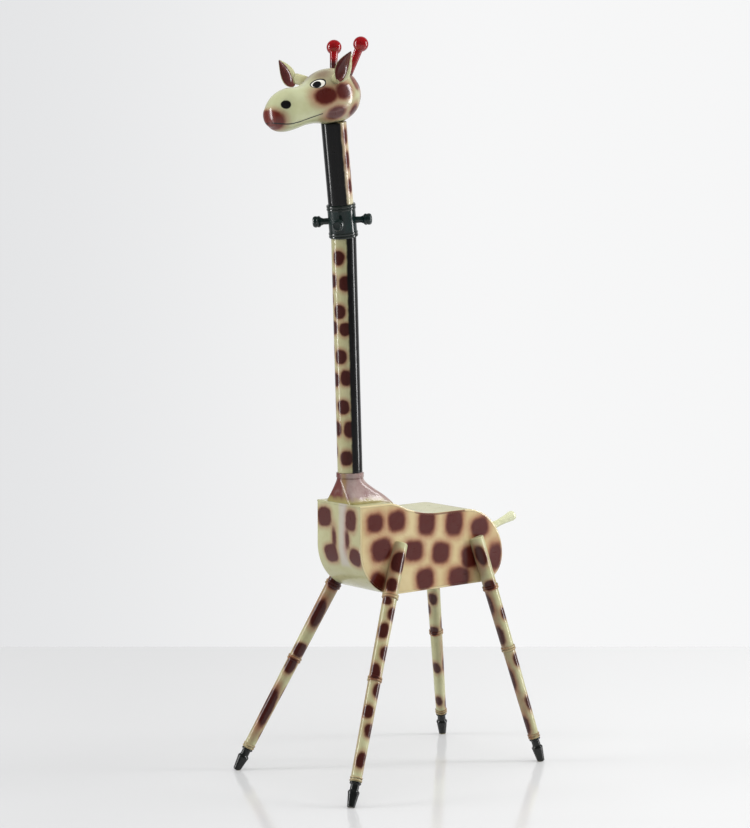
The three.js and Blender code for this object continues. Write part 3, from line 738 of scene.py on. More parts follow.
FINISHES: dict[str, Paint] = {
    "body": Paint(
        "flank_paint", TAN, TAN_SHADE, spot_layers(softness=5.0, halo=12.0, haze=0.9), grime=0.05,
        grain=(1.0, 0.05, 1.0), bump=0.3,
    ),
    "sheet": Paint(
        "sheet_paint",
        CREAM,
        CREAM_SHADE,
        (
            Layer("flank", TAN, softness=0.5, wobble=0.0),
            # Painted reflection: a lilac-grey band down the middle of the chest.
            Layer("lilac", srgb(186, 178, 176), softness=7.0, cover=0.7),
            *spot_layers(softness=2.8, halo=8.0, haze=0.7),
            # A darker band along the seat sheet's side edge, over the flank.
            Layer("seat_edge", srgb(104, 58, 44), softness=3.0, wobble=1.5, cover=0.75),
        ),
        coat=0.6,
        grime=0.05,
    ),
    "leg": Paint(
        "leg_paint",
        CREAM,
        CREAM_SHADE,
        (
            # Painted shade: a soft brown darkening down one side of each leg.
            Layer("shade", srgb(138, 100, 76), softness=5.0, cover=0.6),
            *spot_layers(softness=2.6, halo=6.0, haze=0.7, colour=DEEP_MAROON),
        ),
        clouds=16.0,
        coat=0.6,
    ),
    "ring": Paint(
        "ring_paint",
        srgb(182, 170, 130),
        srgb(138, 112, 78),
        (
            *spot_layers(softness=2.6, halo=7.0, colour=DEEP_MAROON),
            # Painted shade in the grooves where the beads meet the pole.
            Layer("groove", srgb(62, 38, 26), softness=0.5, wobble=0.1, cover=0.85),
        ),
        clouds=40.0,
        grime=0.25,
    ),
    "lower_neck": Paint(
        "lower_neck_paint",
        srgb(186, 181, 143),
        CREAM_SHADE,
        (
            *spot_layers(softness=2.2, halo=6.0, colour=DEEP_MAROON),
            Layer("black_side", BLACK, softness=2.2, wobble=0.8),
        ),
        clouds=14.0,
    ),
    "upper_neck": Paint(
        "upper_neck_paint",
        srgb(214, 205, 176),
        CREAM_SHADE,
        (
            *spot_layers(softness=2.0, halo=6.0),
            Layer("black_side", srgb(86, 62, 48), edge=3.0, softness=5.0, wobble=1.0, cover=0.7),
            Layer("black_side", BLACK, softness=2.0, wobble=0.8),
        ),
        clouds=14.0,
    ),
    "collar": Paint("collar_paint", DARK_GREEN, srgb(24, 30, 28), clouds=22.0, coat=0.7, grime=0.3),
    "collar_ring": Paint(
        "collar_ring_paint", srgb(24, 28, 26), srgb(38, 46, 42), clouds=60.0, coat=0.8, grime=0.3
    ),
    "hoof": Paint(
        "hoof_paint", srgb(9, 10, 10), srgb(24, 27, 26),
        (Layer("worn_sole", srgb(150, 140, 108), softness=1.2, wobble=1.6, cover=0.7),), clouds=60.0,
        coat=0.6, grime=0.35, bump=0.3,
    ),
    "socket": Paint(
        "socket_paint",
        srgb(166, 148, 142),
        srgb(140, 112, 110),
        (
            Layer("front_side", srgb(96, 30, 22), softness=0.8, wobble=0.5, cover=0.9),
            Layer("stripe", srgb(150, 124, 84), softness=5.0, wobble=2.5, cover=0.75),
            Layer("foot", srgb(158, 150, 92), softness=7.0, wobble=3.0, cover=0.85),
            Layer("rim", srgb(84, 40, 34), softness=1.0, wobble=0.3, cover=0.75),
        ),
        clouds=34.0,
        grime=0.4,
        bump=0.35,
    ),
    "head": Paint(
        "head_paint",
        srgb(186, 190, 152),
        srgb(168, 168, 128),
        (
            Layer("crown", srgb(112, 84, 72), softness=14.0, cover=0.8),
            Layer("nape", srgb(84, 34, 28), softness=3.0, cover=0.9),
            *spot_layers(softness=4.0, halo=13.0, haze=0.9),
            Layer("nose", srgb(150, 78, 58), edge=4.0, softness=7.0, wobble=0.8, cover=0.7),
            Layer("nose", srgb(98, 26, 20), edge=0.0, softness=3.0, wobble=0.8, cover=0.95),
            Layer("mouth", srgb(14, 10, 8), edge=1.1, softness=0.5, wobble=0.05),
            Layer("nostril", BLACK, softness=0.8, wobble=0.35),
            Layer("eye_edge", srgb(30, 26, 22), softness=0.4, wobble=0.1),
            Layer("eye_white", srgb(232, 230, 220), softness=0.35, wobble=0.05),
            Layer("pupil", srgb(12, 12, 14), softness=0.35, wobble=0.05),
        ),
        clouds=12.0,
        coat=0.75,
        coat_roughness=0.13,
        grime=0.05,
    ),
    "ear": Paint(
        "ear_paint",
        srgb(196, 196, 158),
        CREAM_SHADE,
        (
            Layer("ear_root", srgb(120, 110, 88), softness=8.0, cover=0.6),
            Layer("ear_tip", srgb(70, 52, 44), softness=3.0, cover=0.7),
            Layer("inside", srgb(104, 54, 52), softness=0.4, wobble=0.1),
        ),
        clouds=20.0,
        coat=0.6,
    ),
    "horn": Paint(
        "horn_lacquer", srgb(168, 4, 12), srgb(126, 4, 12),
        (Layer("stem", srgb(40, 22, 20), softness=9.0, wobble=1.0, cover=0.92),), roughness=(0.12, 0.2),
        coat=1.0, coat_roughness=0.02, grime=0.02, bump=0.05,
    ),
    "tail": Paint("tail_paint", srgb(206, 208, 176), srgb(190, 190, 152), clouds=20.0, coat=0.6),
}


# ---------------------------------------------------------------- making pieces


def add_object(name: str, data: bpy.types.ID) -> bpy.types.Object:
    """Puts a new object into the scene.

    Args:
        name: The object's name.
        data: Its mesh, light or camera.

    Returns:
        The new object, at the origin.
    """
    thing = bpy.data.objects.new(name, data)
    bpy.context.scene.collection.objects.link(thing)
    return thing


def shade_smooth(data: bpy.types.Mesh, sharp: float = SHARP_EDGE) -> None:
    """Smooths a mesh's shading but for the edges past an angle in degrees."""
    data.shade_smooth()
    data.set_sharp_from_angle(angle=math.radians(sharp))


def plain_copy(thing: bpy.types.Object) -> bpy.types.Mesh:
    """An object's mesh with its modifiers worked into it."""
    bpy.context.view_layer.update()
    return bpy.data.meshes.new_from_object(thing.evaluated_get(bpy.context.evaluated_depsgraph_get()))


class Workshop:
    """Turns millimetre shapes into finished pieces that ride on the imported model's bodies."""

    def __init__(self, frame: dict[str, object], body_front: float) -> None:
        """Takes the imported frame.

        Args:
            body_front: Where the chest's face stands in the giraffe's own frame, in millimetres.
        """
        self.nodes: dict[str, bpy.types.Object] = frame["nodes"]
        self.joints = {joint["name"]: joint for joint in frame["joints"]}
        self.shift = Vector((0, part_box("chest_sheet")[0].y / MM - body_front, 0))
        groups = Groups()
        self.paint = {name: finish.build(groups) for name, finish in FINISHES.items()}
        self.wood = BareWood().build()
        self.steel = ScrewSteel().build()

    def low(self, node: str) -> Vector:
        """A node's lowest corner, in millimetres in the giraffe's own frame."""
        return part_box(node)[0] / MM - self.shift

    def high(self, node: str) -> Vector:
        """A node's highest corner, in millimetres in the giraffe's own frame."""
        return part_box(node)[1] / MM - self.shift

    def joint_frame(self, name: str) -> tuple[Vector, Vector]:
        """A joint's place in millimetres and its axis, in the giraffe's own frame."""
        joint = self.joints[name]
        return Vector(joint["pos_m"]) / MM - self.shift, Vector(joint["axis"]).normalized()

    def mesh(self, name: str, shape: Shape, sharp: float = SHARP_EDGE) -> bpy.types.Object:
        """Makes a mesh object of a shape, with its doubles merged and its faces turned outwards.

        Args:
            name: The object's name.
            shape: The shape in millimetres.
            sharp: The angle past which an edge stays sharp, in degrees.

        Returns:
            The new object, at the origin.
        """
        data = bpy.data.meshes.new(name)
        points = (shape.points + np.array(self.shift)) * MM
        data.from_pydata(points.tolist(), [], shape.faces)
        work = bmesh.new()
        work.from_mesh(data)
        bmesh.ops.remove_doubles(work, verts=work.verts, dist=1e-6)
        bmesh.ops.recalc_face_normals(work, faces=work.faces)
        work.to_mesh(data)
        work.free()
        shade_smooth(data, sharp)
        return add_object(name, data)

    def cut(self, thing: bpy.types.Object, place: Vector, outward: Vector) -> None:
        """Cuts away what lies past a plane and closes the cut.

        Args:
            thing: The object to cut.
            place: A point on the plane, in millimetres in the giraffe's own frame.
            outward: Towards the side that goes.
        """
        work = bmesh.new()
        work.from_mesh(thing.data)
        everything = list(work.verts) + list(work.edges) + list(work.faces)
        where = (place + self.shift) * MM
        cut = bmesh.ops.bisect_plane(
            work, geom=everything, plane_co=where, plane_no=outward, clear_outer=True
        )
        rim = [item for item in cut["geom_cut"] if isinstance(item, bmesh.types.BMEdge)]
        bmesh.ops.edgeloop_fill(work, edges=rim)
        bmesh.ops.recalc_face_normals(work, faces=work.faces)
        work.to_mesh(thing.data)
        work.free()
        shade_smooth(thing.data)

    def mask(self, thing: bpy.types.Object, painter: Painter) -> None:
        """Writes a piece's painted masks, one number for each face corner.

        Args:
            thing: The piece.
            painter: Gives the masks for corner places and face directions.
        """
        data = thing.data
        places = np.empty(len(data.vertices) * 3)
        data.vertices.foreach_get("co", places)
        places = places.reshape(-1, 3) / MM - np.array(self.shift)
        owners = np.empty(len(data.loops), np.int64)
        data.loops.foreach_get("vertex_index", owners)
        normals = np.empty(len(data.polygons) * 3)
        data.polygons.foreach_get("normal", normals)
        totals = np.empty(len(data.polygons), np.int64)
        data.polygons.foreach_get("loop_total", totals)
        facing = np.repeat(normals.reshape(-1, 3), totals, axis=0)
        for name, values in painter(places[owners], facing).items():
            layer = data.attributes.new(name, "FLOAT", "CORNER")
            layer.data.foreach_set("value", np.ascontiguousarray(values, np.float32))

    def finish(
        self, thing: bpy.types.Object, finish: str, body: str, nodes: Sequence[str], slot: str
    ) -> bpy.types.Object:
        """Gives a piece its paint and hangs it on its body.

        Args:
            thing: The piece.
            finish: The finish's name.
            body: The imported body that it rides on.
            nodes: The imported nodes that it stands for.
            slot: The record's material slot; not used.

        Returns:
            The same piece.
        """
        thing.data.materials.clear()
        thing.data.materials.append(self.paint[finish])
        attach(thing, body)
        if nodes:
            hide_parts(*nodes)
        LOG.info("%s: %d faces on %s", thing.name, len(thing.data.polygons), body)
        return thing

    def dress_node(self, node: str, material: bpy.types.Material) -> None:
        """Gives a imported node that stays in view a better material.

        Args:
            node: The node's name.
            material: What it is made of.
        """
        data = self.nodes[node].data
        data.materials.clear()
        data.materials.append(material)
        LOG.info("%s: kept, in %s", node, material.name)


# ---------------------------------------------------------------- repeated beads


class BeadRings:
    """Geometry nodes that set turned beads round a pole at marked points."""

    def __init__(self) -> None:
        """Builds the tree."""
        self.tree = bpy.data.node_groups.new("turned_beads", "GeometryNodeTree")
        make = self.tree.interface.new_socket
        make(name="Geometry", in_out="INPUT", socket_type="NodeSocketGeometry")
        self.radius = make(name="Pole Radius", in_out="INPUT", socket_type="NodeSocketFloat")
        self.width = make(name="Bead Width", in_out="INPUT", socket_type="NodeSocketFloat")
        self.lip = make(name="Bead Lip", in_out="INPUT", socket_type="NodeSocketFloat")
        self.material = make(name="Paint", in_out="INPUT", socket_type="NodeSocketMaterial")
        make(name="Geometry", in_out="OUTPUT", socket_type="NodeSocketGeometry")
        maker = Tree(self.tree)
        entry = maker.add("NodeGroupInput")
        round_pole = {"Resolution": 72, "Radius": entry.outputs["Pole Radius"]}
        pole = maker.add("GeometryNodeCurvePrimitiveCircle", round_pole)
        unit = maker.add("GeometryNodeCurvePrimitiveCircle", {"Resolution": 20, "Radius": 1.0})
        lip_and_width = {"X": entry.outputs["Bead Lip"], "Y": entry.outputs["Bead Width"], "Z": 1.0}
        size = maker.add("ShaderNodeCombineXYZ", lip_and_width)
        oval = {"Geometry": unit.outputs["Curve"], "Scale": size.outputs[0]}
        section = maker.add("GeometryNodeTransform", oval)
        upright = maker.add("GeometryNodeSetCurveNormal", {"Curve": pole.outputs["Curve"]}, mode="Z_UP")
        bead = maker.add(
            "GeometryNodeCurveToMesh",
            {"Curve": upright.outputs["Curve"], "Profile Curve": section.outputs["Geometry"]},
        )
        axis = maker.add("GeometryNodeInputNamedAttribute", {"Name": "axis"}, data_type="FLOAT_VECTOR")
        swell = maker.add("GeometryNodeInputNamedAttribute", {"Name": "swell"}, data_type="FLOAT")
        turn = maker.add("FunctionNodeAlignRotationToVector", {"Vector": axis.outputs["Attribute"]}, axis="Z")
        placed = maker.add(
            "GeometryNodeInstanceOnPoints",
            {
                "Points": entry.outputs["Geometry"], "Instance": bead.outputs["Mesh"],
                "Rotation": turn.outputs["Rotation"], "Scale": swell.outputs["Attribute"],
            },
        )
        real = maker.add("GeometryNodeRealizeInstances", {"Geometry": placed.outputs["Instances"]})
        smooth = maker.add("GeometryNodeSetShadeSmooth", {"Geometry": real.outputs["Geometry"]})
        coated = maker.add("GeometryNodeSetMaterial", {"Geometry": smooth.outputs["Geometry"]})
        maker.feed(coated, "Material", entry.outputs["Paint"])
        leave = maker.add("NodeGroupOutput")
        maker.tree.links.new(coated.outputs["Geometry"], leave.inputs["Geometry"])

    def beads(
        self,
        shop: Workshop,
        name: str,
        frame: Matrix,
        rows: Sequence[tuple[float, float]],
        width: float,
        lip: float,
        paint: bpy.types.Material,
    ) -> bpy.types.Object:
        """Makes the beads of one pole as a plain mesh.

        Args:
            shop: The workshop.
            name: The new object's name.
            frame: The pole's frame, in millimetres.
            rows: The height and pole radius of each bead.
            width: Half a bead's width along the pole.
            lip: How far a bead stands out.
            paint: Its material.

        Returns:
            The beads as one object.
        """
        middle = sum(radius for _, radius in rows) / len(rows)
        points = [(frame @ Vector((0, 0, height)) + shop.shift) * MM for height, _ in rows]
        marks = bpy.data.meshes.new(name + "_marks")
        marks.from_pydata([tuple(point) for point in points], [], [])
        along = frame.to_3x3() @ Vector((0, 0, 1))
        marks.attributes.new("axis", "FLOAT_VECTOR", "POINT")
        marks.attributes.new("swell", "FLOAT", "POINT")
        for i, (_, radius) in enumerate(rows):
            marks.attributes["axis"].data[i].vector = along
            marks.attributes["swell"].data[i].value = radius / middle
        holder = add_object(name + "_marks", marks)
        modifier = holder.modifiers.new("beads", "NODES")
        modifier.node_group = self.tree
        modifier[self.radius.identifier] = middle * MM
        modifier[self.width.identifier] = width * MM
        modifier[self.lip.identifier] = lip * MM
        modifier[self.material.identifier] = paint
        data = plain_copy(holder)
        data.name = name
        holder.modifiers.remove(modifier)
        bpy.data.objects.remove(holder)
        return add_object(name, data)


# ---------------------------------------------------------------- the body

FLANK_SPOTS = (
    Spot(-55, 511, 20, 18, 4), Spot(-1, 510, 21, 20, 3), Spot(76, 500, 21, 25, -6),
    Spot(148, 493, 22, 26, -5), Spot(216, 477, 23, 20, 14), Spot(-39, 457, 25, 22, 12),
    Spot(42, 447, 24, 20, -4), Spot(113, 436, 22, 21, -8), Spot(190, 420, 22, 22, 6),
    Spot(258, 414, 17, 27, -6), Spot(-50, 394, 18, 19, -24), Spot(72, 388, 22, 21, 4),
    Spot(161, 382, 27, 20, -4),
)
CHEST_SPOTS = (
    Spot(-44, 515, 21, 19, 8), Spot(38, 516, 16, 21, -4), Spot(-14, 478, 6, 18, 4),
    Spot(-25, 445, 20, 18, 12), Spot(50, 445, 17, 17, -14), Spot(27, 478, 6, 18, 2),
)
SEAT_SPOTS = (
    Spot(150, -34, 16, 18), Spot(196, 22, 17, 16, 20), Spot(92, 30, 17, 17, -10), Spot(60, -30, 15, 18, 14),
    Spot(228, -40, 14, 15), Spot(16, 44, 15, 12, 8),
)


@dataclass
class BodyOutline:
    """The body's side outline in Y and Z, in millimetres."""

    front: float
    rear: float
    bottom: float
    chest_top: float
    seat_top: float
    chest_radius: float = 95.0
    seat_radius: float = 237.0
    shoulder_radius: float = 79.0
    shoulder_start: float = -24.5
    rump_share: float = 0.66
    step: float = 3.0
    straight_step: float = 6.0
    longest_whole: float = 8.0

    def arc(
        self, centre: tuple[float, float], radius: float, start: float, end: float, inset: float
    ) -> Profile:
        """Points on an arc, as many for every inset, so that inner and outer points pair up.

        Args:
            centre: The arc's centre in Y and Z.
            radius: Its radius on the outer face.
            start: Its first angle.
            end: Its last angle.
            inset: How far inside the outer face the points lie.

        Returns:
            The points.
        """
        count = max(2, math.ceil(abs(end - start) * radius / self.step))
        reach = radius - inset
        angles = np.linspace(start, end, count + 1)
        return [(centre[0] + reach * math.cos(a), centre[1] + reach * math.sin(a)) for a in angles]

    def path(self, inset: float) -> Array:
        """The outline from the chest's top corner down the front, round the belly and rump and back.

        Args:
            inset: How far inside the outer face the path runs.

        Returns:
            The points, as many for every inset.
        """
        up = math.pi / 2
        height = self.seat_top - self.bottom
        upper = self.rump_share * height
        lower = height - upper
        rise = self.chest_top - self.seat_top
        both = self.seat_radius + self.shoulder_radius
        climb = math.acos(1 - rise / both)
        seat_end = self.shoulder_start + both * math.sin(climb)
        middle = self.bottom + lower
        chest = self.front + self.chest_radius, self.bottom + self.chest_radius
        shoulder = self.shoulder_start, self.chest_top - self.shoulder_radius
        points = [(self.front + inset, self.chest_top - inset)]
        arcs = [
            (chest, self.chest_radius, 2 * up, 3 * up, inset),
            ((self.rear - lower, middle), lower, -up, 0, inset),
            ((self.rear - upper, middle), upper, 0, up, inset),
            ((seat_end, self.seat_top + self.seat_radius), self.seat_radius, -up, -up - climb, -inset),
            (shoulder, self.shoulder_radius, up - climb, up, inset),
        ]
        for arc in arcs:
            points.extend(self.arc(*arc))
        points.append(points[0])
        fine = [points[0]]
        for start, end in zip(points, points[1:]):
            length = math.dist(start, end)
            pieces = round(length / self.straight_step) if length > self.longest_whole else 1
            fine.extend(divided(start, end, pieces))
        return np.array(fine)

    def top_at(self, y: Array) -> Array:
        """The height of the body's top.

        Args:
            y: Places along Y.

        Returns:
            One height for each.
        """
        path = self.path(0)
        upper = path[int(np.argmax(path[:, 0])) :]
        order = np.argsort(upper[:, 0])
        return np.interp(y, upper[order, 0], upper[order, 1])


@dataclass(frozen=True)
class Sheet:
    """One bent sheet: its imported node, the Y and Z of both its ends, and its slot."""

    node: str
    start: tuple[float | None, float]
    end: tuple[float, float]
    slot: str


@dataclass
class Body:
    """The box body: two panels with bent sheets round their edge, and the hidden blocks."""

    shop: Workshop
    width: float = 134.0
    skin: float = 4.0
    panel: float = 12.0
    gap: float = 0.3
    edge: float = 1.3
    chest_seam: float = -30.0
    rump_seam: float = 170.0
    # Where each paint reaches: back from the chest's face, and back from the rump's seam.
    chest_paint: float = 60.0
    seat_paint: float = 20.0
    # The lilac-grey band of painted reflection on the chest: its middle, its half width and its foot.
    lilac: tuple[float, float, float] = (14.0, 12.0, 424.0)
    # The dark band on the seat sheet's edge above each flank: its middle and half length along Y, and its
    # lowest height.
    worn: tuple[float, float, float] = (110.0, 66.0, 480.0)
    spot_square: float = 3.0
    # The panel's grid: steps round a corner, the rump's bend, the step between columns, and rows.
    corner_steps: int = 20
    rump_bend: float = 50.0
    column_step: float = 5.0
    grid_rows: int = 34
    outline: BodyOutline = field(init=False)

    def __post_init__(self) -> None:
        """Reads the outline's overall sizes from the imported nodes."""
        shop = self.shop
        self.outline = BodyOutline(
            front=shop.low("chest_sheet").y, rear=shop.high("rump_sheet").y,
            bottom=shop.low("rump_sheet").z, chest_top=shop.high("saddle_seat").z,
            seat_top=shop.high("rump_sheet").z,
        )

    def build(self) -> None:
        """Builds and paints every piece of the body."""
        for side in Side:
            self.build_panel(side)
        for sheet in self.sheets():
            self.build_sheet(sheet)
        for block in ("neck_block", "rump_block"):
            self.shop.dress_node(block, self.shop.wood)

    def paint(self, points: Array, facing: Array) -> Fields:
        """Masks the body: flank spots on its sides, chest spots in front and seat spots on top.

        Args:
            points: The corners' places.
            facing: The directions of their faces.

        Returns:
            The distance to each layer of paint.
        """
        x, y, z = points.T
        side = np.abs(facing[:, 0]) > 0.7
        upwards = facing[:, 2] > 0.5
        front = y < self.outline.front + self.chest_paint
        back = y > self.rump_seam + self.seat_paint
        flank = spot_distance(y, z, FLANK_SPOTS, self.spot_square)
        chest = spot_distance(x, z, CHEST_SPOTS, self.spot_square)
        seat = spot_distance(y, x, SEAT_SPOTS, self.spot_square)
        other = np.where(front & ~upwards, chest, np.where(back, seat, FAR))
        # The painted reflection: a band down the chest's face, above its foot.
        middle, half, foot = self.lilac
        band = np.maximum(np.abs(x - middle) - half, foot - z)
        band_middle, band_half, lowest = self.worn
        return {
            "spots": np.where(side, flank, other), "flank": np.where(side, -9.0, 9.0),
            "seat_edge": np.where(side & (z > lowest), np.abs(y - band_middle) - band_half, FAR),
            "lilac": np.where(front & ~side & ~upwards, band, FAR),
        }

    def build_panel(self, side: Side) -> None:
        """Builds one side panel as a slab with a fine grid on its faces.

        Args:
            side: The panel's side.
        """
        line = self.outline
        inset = self.skin + self.gap
        path = line.path(inset)
        last = int(np.argmax(path[:, 0]))
        front, rear = path[:, 0].min(), path[:, 0].max()
        bend = np.linspace(0, math.pi / 2, self.corner_steps)
        near = front + (line.chest_radius - inset) * (1 - np.cos(bend))
        far = rear - self.rump_bend + self.rump_bend * np.sin(bend)
        step = self.column_step
        columns = np.concatenate([near, np.arange(near[-1] + step, far[0] - 0.4 * step, step), far])
        lower, upper = path[: last + 1], path[last:]
        low = self.height_at(lower[lower[:, 1] <= line.bottom + line.chest_radius], columns)
        high = self.height_at(upper, columns)
        rows = np.linspace(0, 1, self.grid_rows)
        heights = low[:, None] + (high - low)[:, None] * rows[None, :]
        along = np.repeat(columns[:, None], len(rows), 1)
        grids = []
        for depth in (self.panel, 0.0):
            x = side.value * (self.width / 2 - depth)
            grids.append(np.stack([np.full_like(heights, x), along, heights], axis=2))
        shape = self.slab(*grids)
        thing = self.shop.mesh(f"flank_{side.word}", shape)
        self.shop.mask(thing, self.paint)
        self.shop.finish(thing, "body", STAND, [f"side_panel_{side.word}"], "body_paint")

    @staticmethod
    def height_at(path: Array, columns: Array) -> Array:
        """Heights on a path over places along Y."""
        order = np.argsort(path[:, 0], kind="stable")
        return np.interp(columns, path[order, 0], path[order, 1])

    @staticmethod
    def slab(first: Array, second: Array) -> Shape:
        """Joins two grids of the same size with a wall round their edge.

        Args:
            first: The inner grid, columns by rows by three.
            second: The outer grid.

        Returns:
            The closed slab.
        """
        across, up = first.shape[:2]
        count = across * up
        faces: list[tuple[int, ...]] = []
        for i in range(across - 1):
            for j in range(up - 1):
                a, b, c, d = i * up + j, (i + 1) * up + j, (i + 1) * up + j + 1, i * up + j + 1
                faces.append((a, b, c, d))
                faces.append((count + d, count + c, count + b, count + a))
        rim = [i * up for i in range(across)]
        rim += [(across - 1) * up + j for j in range(1, up)]
        rim += [i * up + up - 1 for i in range(across - 2, -1, -1)]
        rim += list(range(up - 2, 0, -1))
        for a, b in zip(rim, rim[1:] + rim[:1]):
            faces.append((a, b, count + b, count + a))
        return Shape(np.vstack([first.reshape(-1, 3), second.reshape(-1, 3)]), faces)

    def sheets(self) -> tuple[Sheet, ...]:
        """Lists the bent sheets.

        Returns:
            The four sheets, each from one seam to the next.
        """
        line, gap = self.outline, self.gap
        lid = line.chest_top - self.skin - gap
        chest, rump = self.chest_seam, self.rump_seam
        return (
            Sheet("chest_sheet", (None, lid), (chest, line.bottom), "sheet_paint"),
            Sheet("belly_sheet", (chest + gap, line.bottom), (rump - gap, line.bottom), "sheet_paint"),
            Sheet("rump_sheet", (rump, line.bottom), (rump, line.seat_top), "sheet_paint"),
            Sheet("saddle_seat", (rump - gap, line.seat_top), (line.front, line.chest_top), "seat_paint"),
        )

    def run(self, sheet: Sheet, inset: float) -> Array:
        """Takes a sheet's stretch of the side outline.

        Args:
            sheet: The sheet.
            inset: How far inside the outer face the stretch runs.

        Returns:
            Its points, as many for every inset.
        """
        outer = self.outline.path(0)
        path = self.outline.path(inset)
        last = int(np.argmax(outer[:, 0]))
        along = np.concatenate([[0], np.cumsum(np.linalg.norm(np.diff(outer, axis=0), axis=1))])
        ends = []
        for y, z in (sheet.start, sheet.end):
            if y is None:
                ends.append(outer[0, 1] - z)
            elif (y, z) == (self.outline.front, self.outline.chest_top):
                ends.append(along[-1])
            else:
                below = z < (self.outline.bottom + self.outline.seat_top) / 2
                half = slice(0, last) if below else slice(last, None)
                part = outer[half]
                order = np.argsort(part[:, 0], kind="stable")
                ends.append(float(np.interp(y, part[order, 0], along[half][order])))
        inside = (along > ends[0] + 0.5) & (along < ends[1] - 0.5)
        start, end = [[np.interp(place, along, path[:, axis]) for axis in (0, 1)] for place in ends]
        points = np.vstack([start, path[inside], end])
        if sheet.start[0] is None:
            points[0, 1] = sheet.start[1]
        for row, (y, _) in ((0, sheet.start), (-1, sheet.end)):
            if y is not None:
                points[row, 0] = y
        return points

    def build_sheet(self, sheet: Sheet) -> None:
        """Builds one bent sheet of the body's edge.

        Args:
            sheet: The sheet.
        """
        half = self.width / 2
        soft = 0.3 * self.edge
        stations = [(-half, self.edge), (-half + soft, soft)]
        stations += [(x, 0.0) for x in np.linspace(-half + self.edge, half - self.edge, 29)]
        stations += [(half - soft, soft), (half, self.edge)]
        inner = self.run(sheet, self.skin)
        rings = []
        for x, inset in stations:
            loop = np.vstack([self.run(sheet, inset), inner[::-1]])
            rings.append(np.column_stack([np.full(len(loop), x), loop]))
        shape = stack_rings(np.array(rings))
        shape.faces = shape.faces[:-2]
        count = len(inner)
        for base in (0, (len(stations) - 1) * 2 * count):
            for i in range(count - 1):
                opposite = base + 2 * count - 1 - i
                shape.faces.append((base + i, base + i + 1, opposite - 1, opposite))
        thing = self.shop.mesh(f"{sheet.node}_bent", shape)
        self.shop.mask(thing, self.paint)
        self.shop.finish(thing, "sheet", STAND, [sheet.node], sheet.slot)


# ---------------------------------------------------------------- legs


@dataclass(frozen=True)
class LegSpec:
    """One pair of legs: where the axis meets the panel, how it spreads, its rings, its spots and its painted
    shade.
    """

    word: str
    top_y: float
    above_belly: float
    proud: float
    out: float
    stride: float
    rings: tuple[float, ...]
    end: float
    spots: dict[Side, tuple[Spot, ...]]
    painted_shades: dict[Side, tuple[Spot, ...]]


def back_spots(start: float, end: float, bearings: tuple[float, float]) -> tuple[Spot, ...]:
    """Spots in two staggered columns up the side of a leg that is turned away.

    Args:
        start: The lowest spot's height.
        end: The height that the spots stop below.
        bearings: The two columns' bearings in degrees.

    Returns:
        The spots.
    """
    spots = []
    height = start
    while height < end:
        turn = bearings[len(spots) % 2]
        spots.append(Spot(height, turn, 13 + 3 * (len(spots) % 3), 10 + 2 * (len(spots) % 2), 6))
        height += 47
    return tuple(spots)


FRONT_LEGS = LegSpec(
    "front",
    9.5,
    99.0,
    -2.0,
    117.2,
    -218.0,
    (54, 250, 417),
    0.0,
    {
        Side.LEFT: (
            Spot(484, -22, 22, 16, 6), Spot(436, -45, 14, 12), Spot(404, -60, 8, 10), Spot(380, 10, 13, 11),
            Spot(344, -43, 16, 11, 5), Spot(301, 13, 14, 12), Spot(262, -46, 16, 10, -8),
            Spot(227, 11, 15, 11), Spot(184, -43, 13, 11, 10), Spot(148, 4, 14, 11, -6),
            Spot(90, -24, 16, 10, 6), *back_spots(75, 470, (95, 170)),
        ),
        Side.RIGHT: (
            Spot(424, -32, 17, 17), Spot(352, -38, 30, 13, -6), Spot(271, -34, 15, 14),
            Spot(235, -44, 17, 12), Spot(142, -52, 42, 12, -4), Spot(480, -40, 14, 12),
            *back_spots(85, 470, (70, 160)),
        ),
    },
    # Painted shade down one side of each leg.
    {
        Side.LEFT: (Spot(470, -88, 62, 15), Spot(210, -112, 160, 5)),
        Side.RIGHT: (Spot(380, -95, 70, 12), Spot(400, -30, 40, 16), Spot(130, -60, 72, 12)),
    },
)
REAR_LEGS = LegSpec(
    "rear",
    203.3,
    88.7,
    4.9,
    80.2,
    106.0,
    (55, 242, 372),
    5.0,
    {
        Side.LEFT: (
            Spot(441, -42, 21, 11, -10), Spot(378, -42, 10, 12), Spot(340, -98, 22, 9),
            Spot(315, 22, 12, 9), Spot(272, -84, 20, 10), Spot(216, 14, 14, 9, -8), Spot(180, -100, 24, 8),
            Spot(124, 12, 15, 8, -8), Spot(82, -95, 20, 9), *back_spots(90, 440, (110, 180)),
        ),
        Side.RIGHT: (
            Spot(324, -52, 13, 10, -12), Spot(298, -112, 12, 7), Spot(250, -62, 10, 10),
            Spot(162, -62, 13, 9, -16), Spot(83, -60, 11, 8, -16), Spot(400, -55, 13, 10),
            *back_spots(75, 440, (60, 150)),
        ),
    },
    # Painted shade down one side of each leg.
    {
        Side.LEFT: (Spot(335, -88, 45, 14), Spot(150, -92, 95, 11), Spot(430, -92, 36, 14)),
        Side.RIGHT: (Spot(200, 10, 40, 6),),
    },
)


# Radius and height from the sole up to the ankle.
HOOF_FOOT: Profile = [(6.6, 0), (7.4, 0.8), (10.6, 25), (11.4, 29), (10.6, 31.2), (8.4, 33.4)]


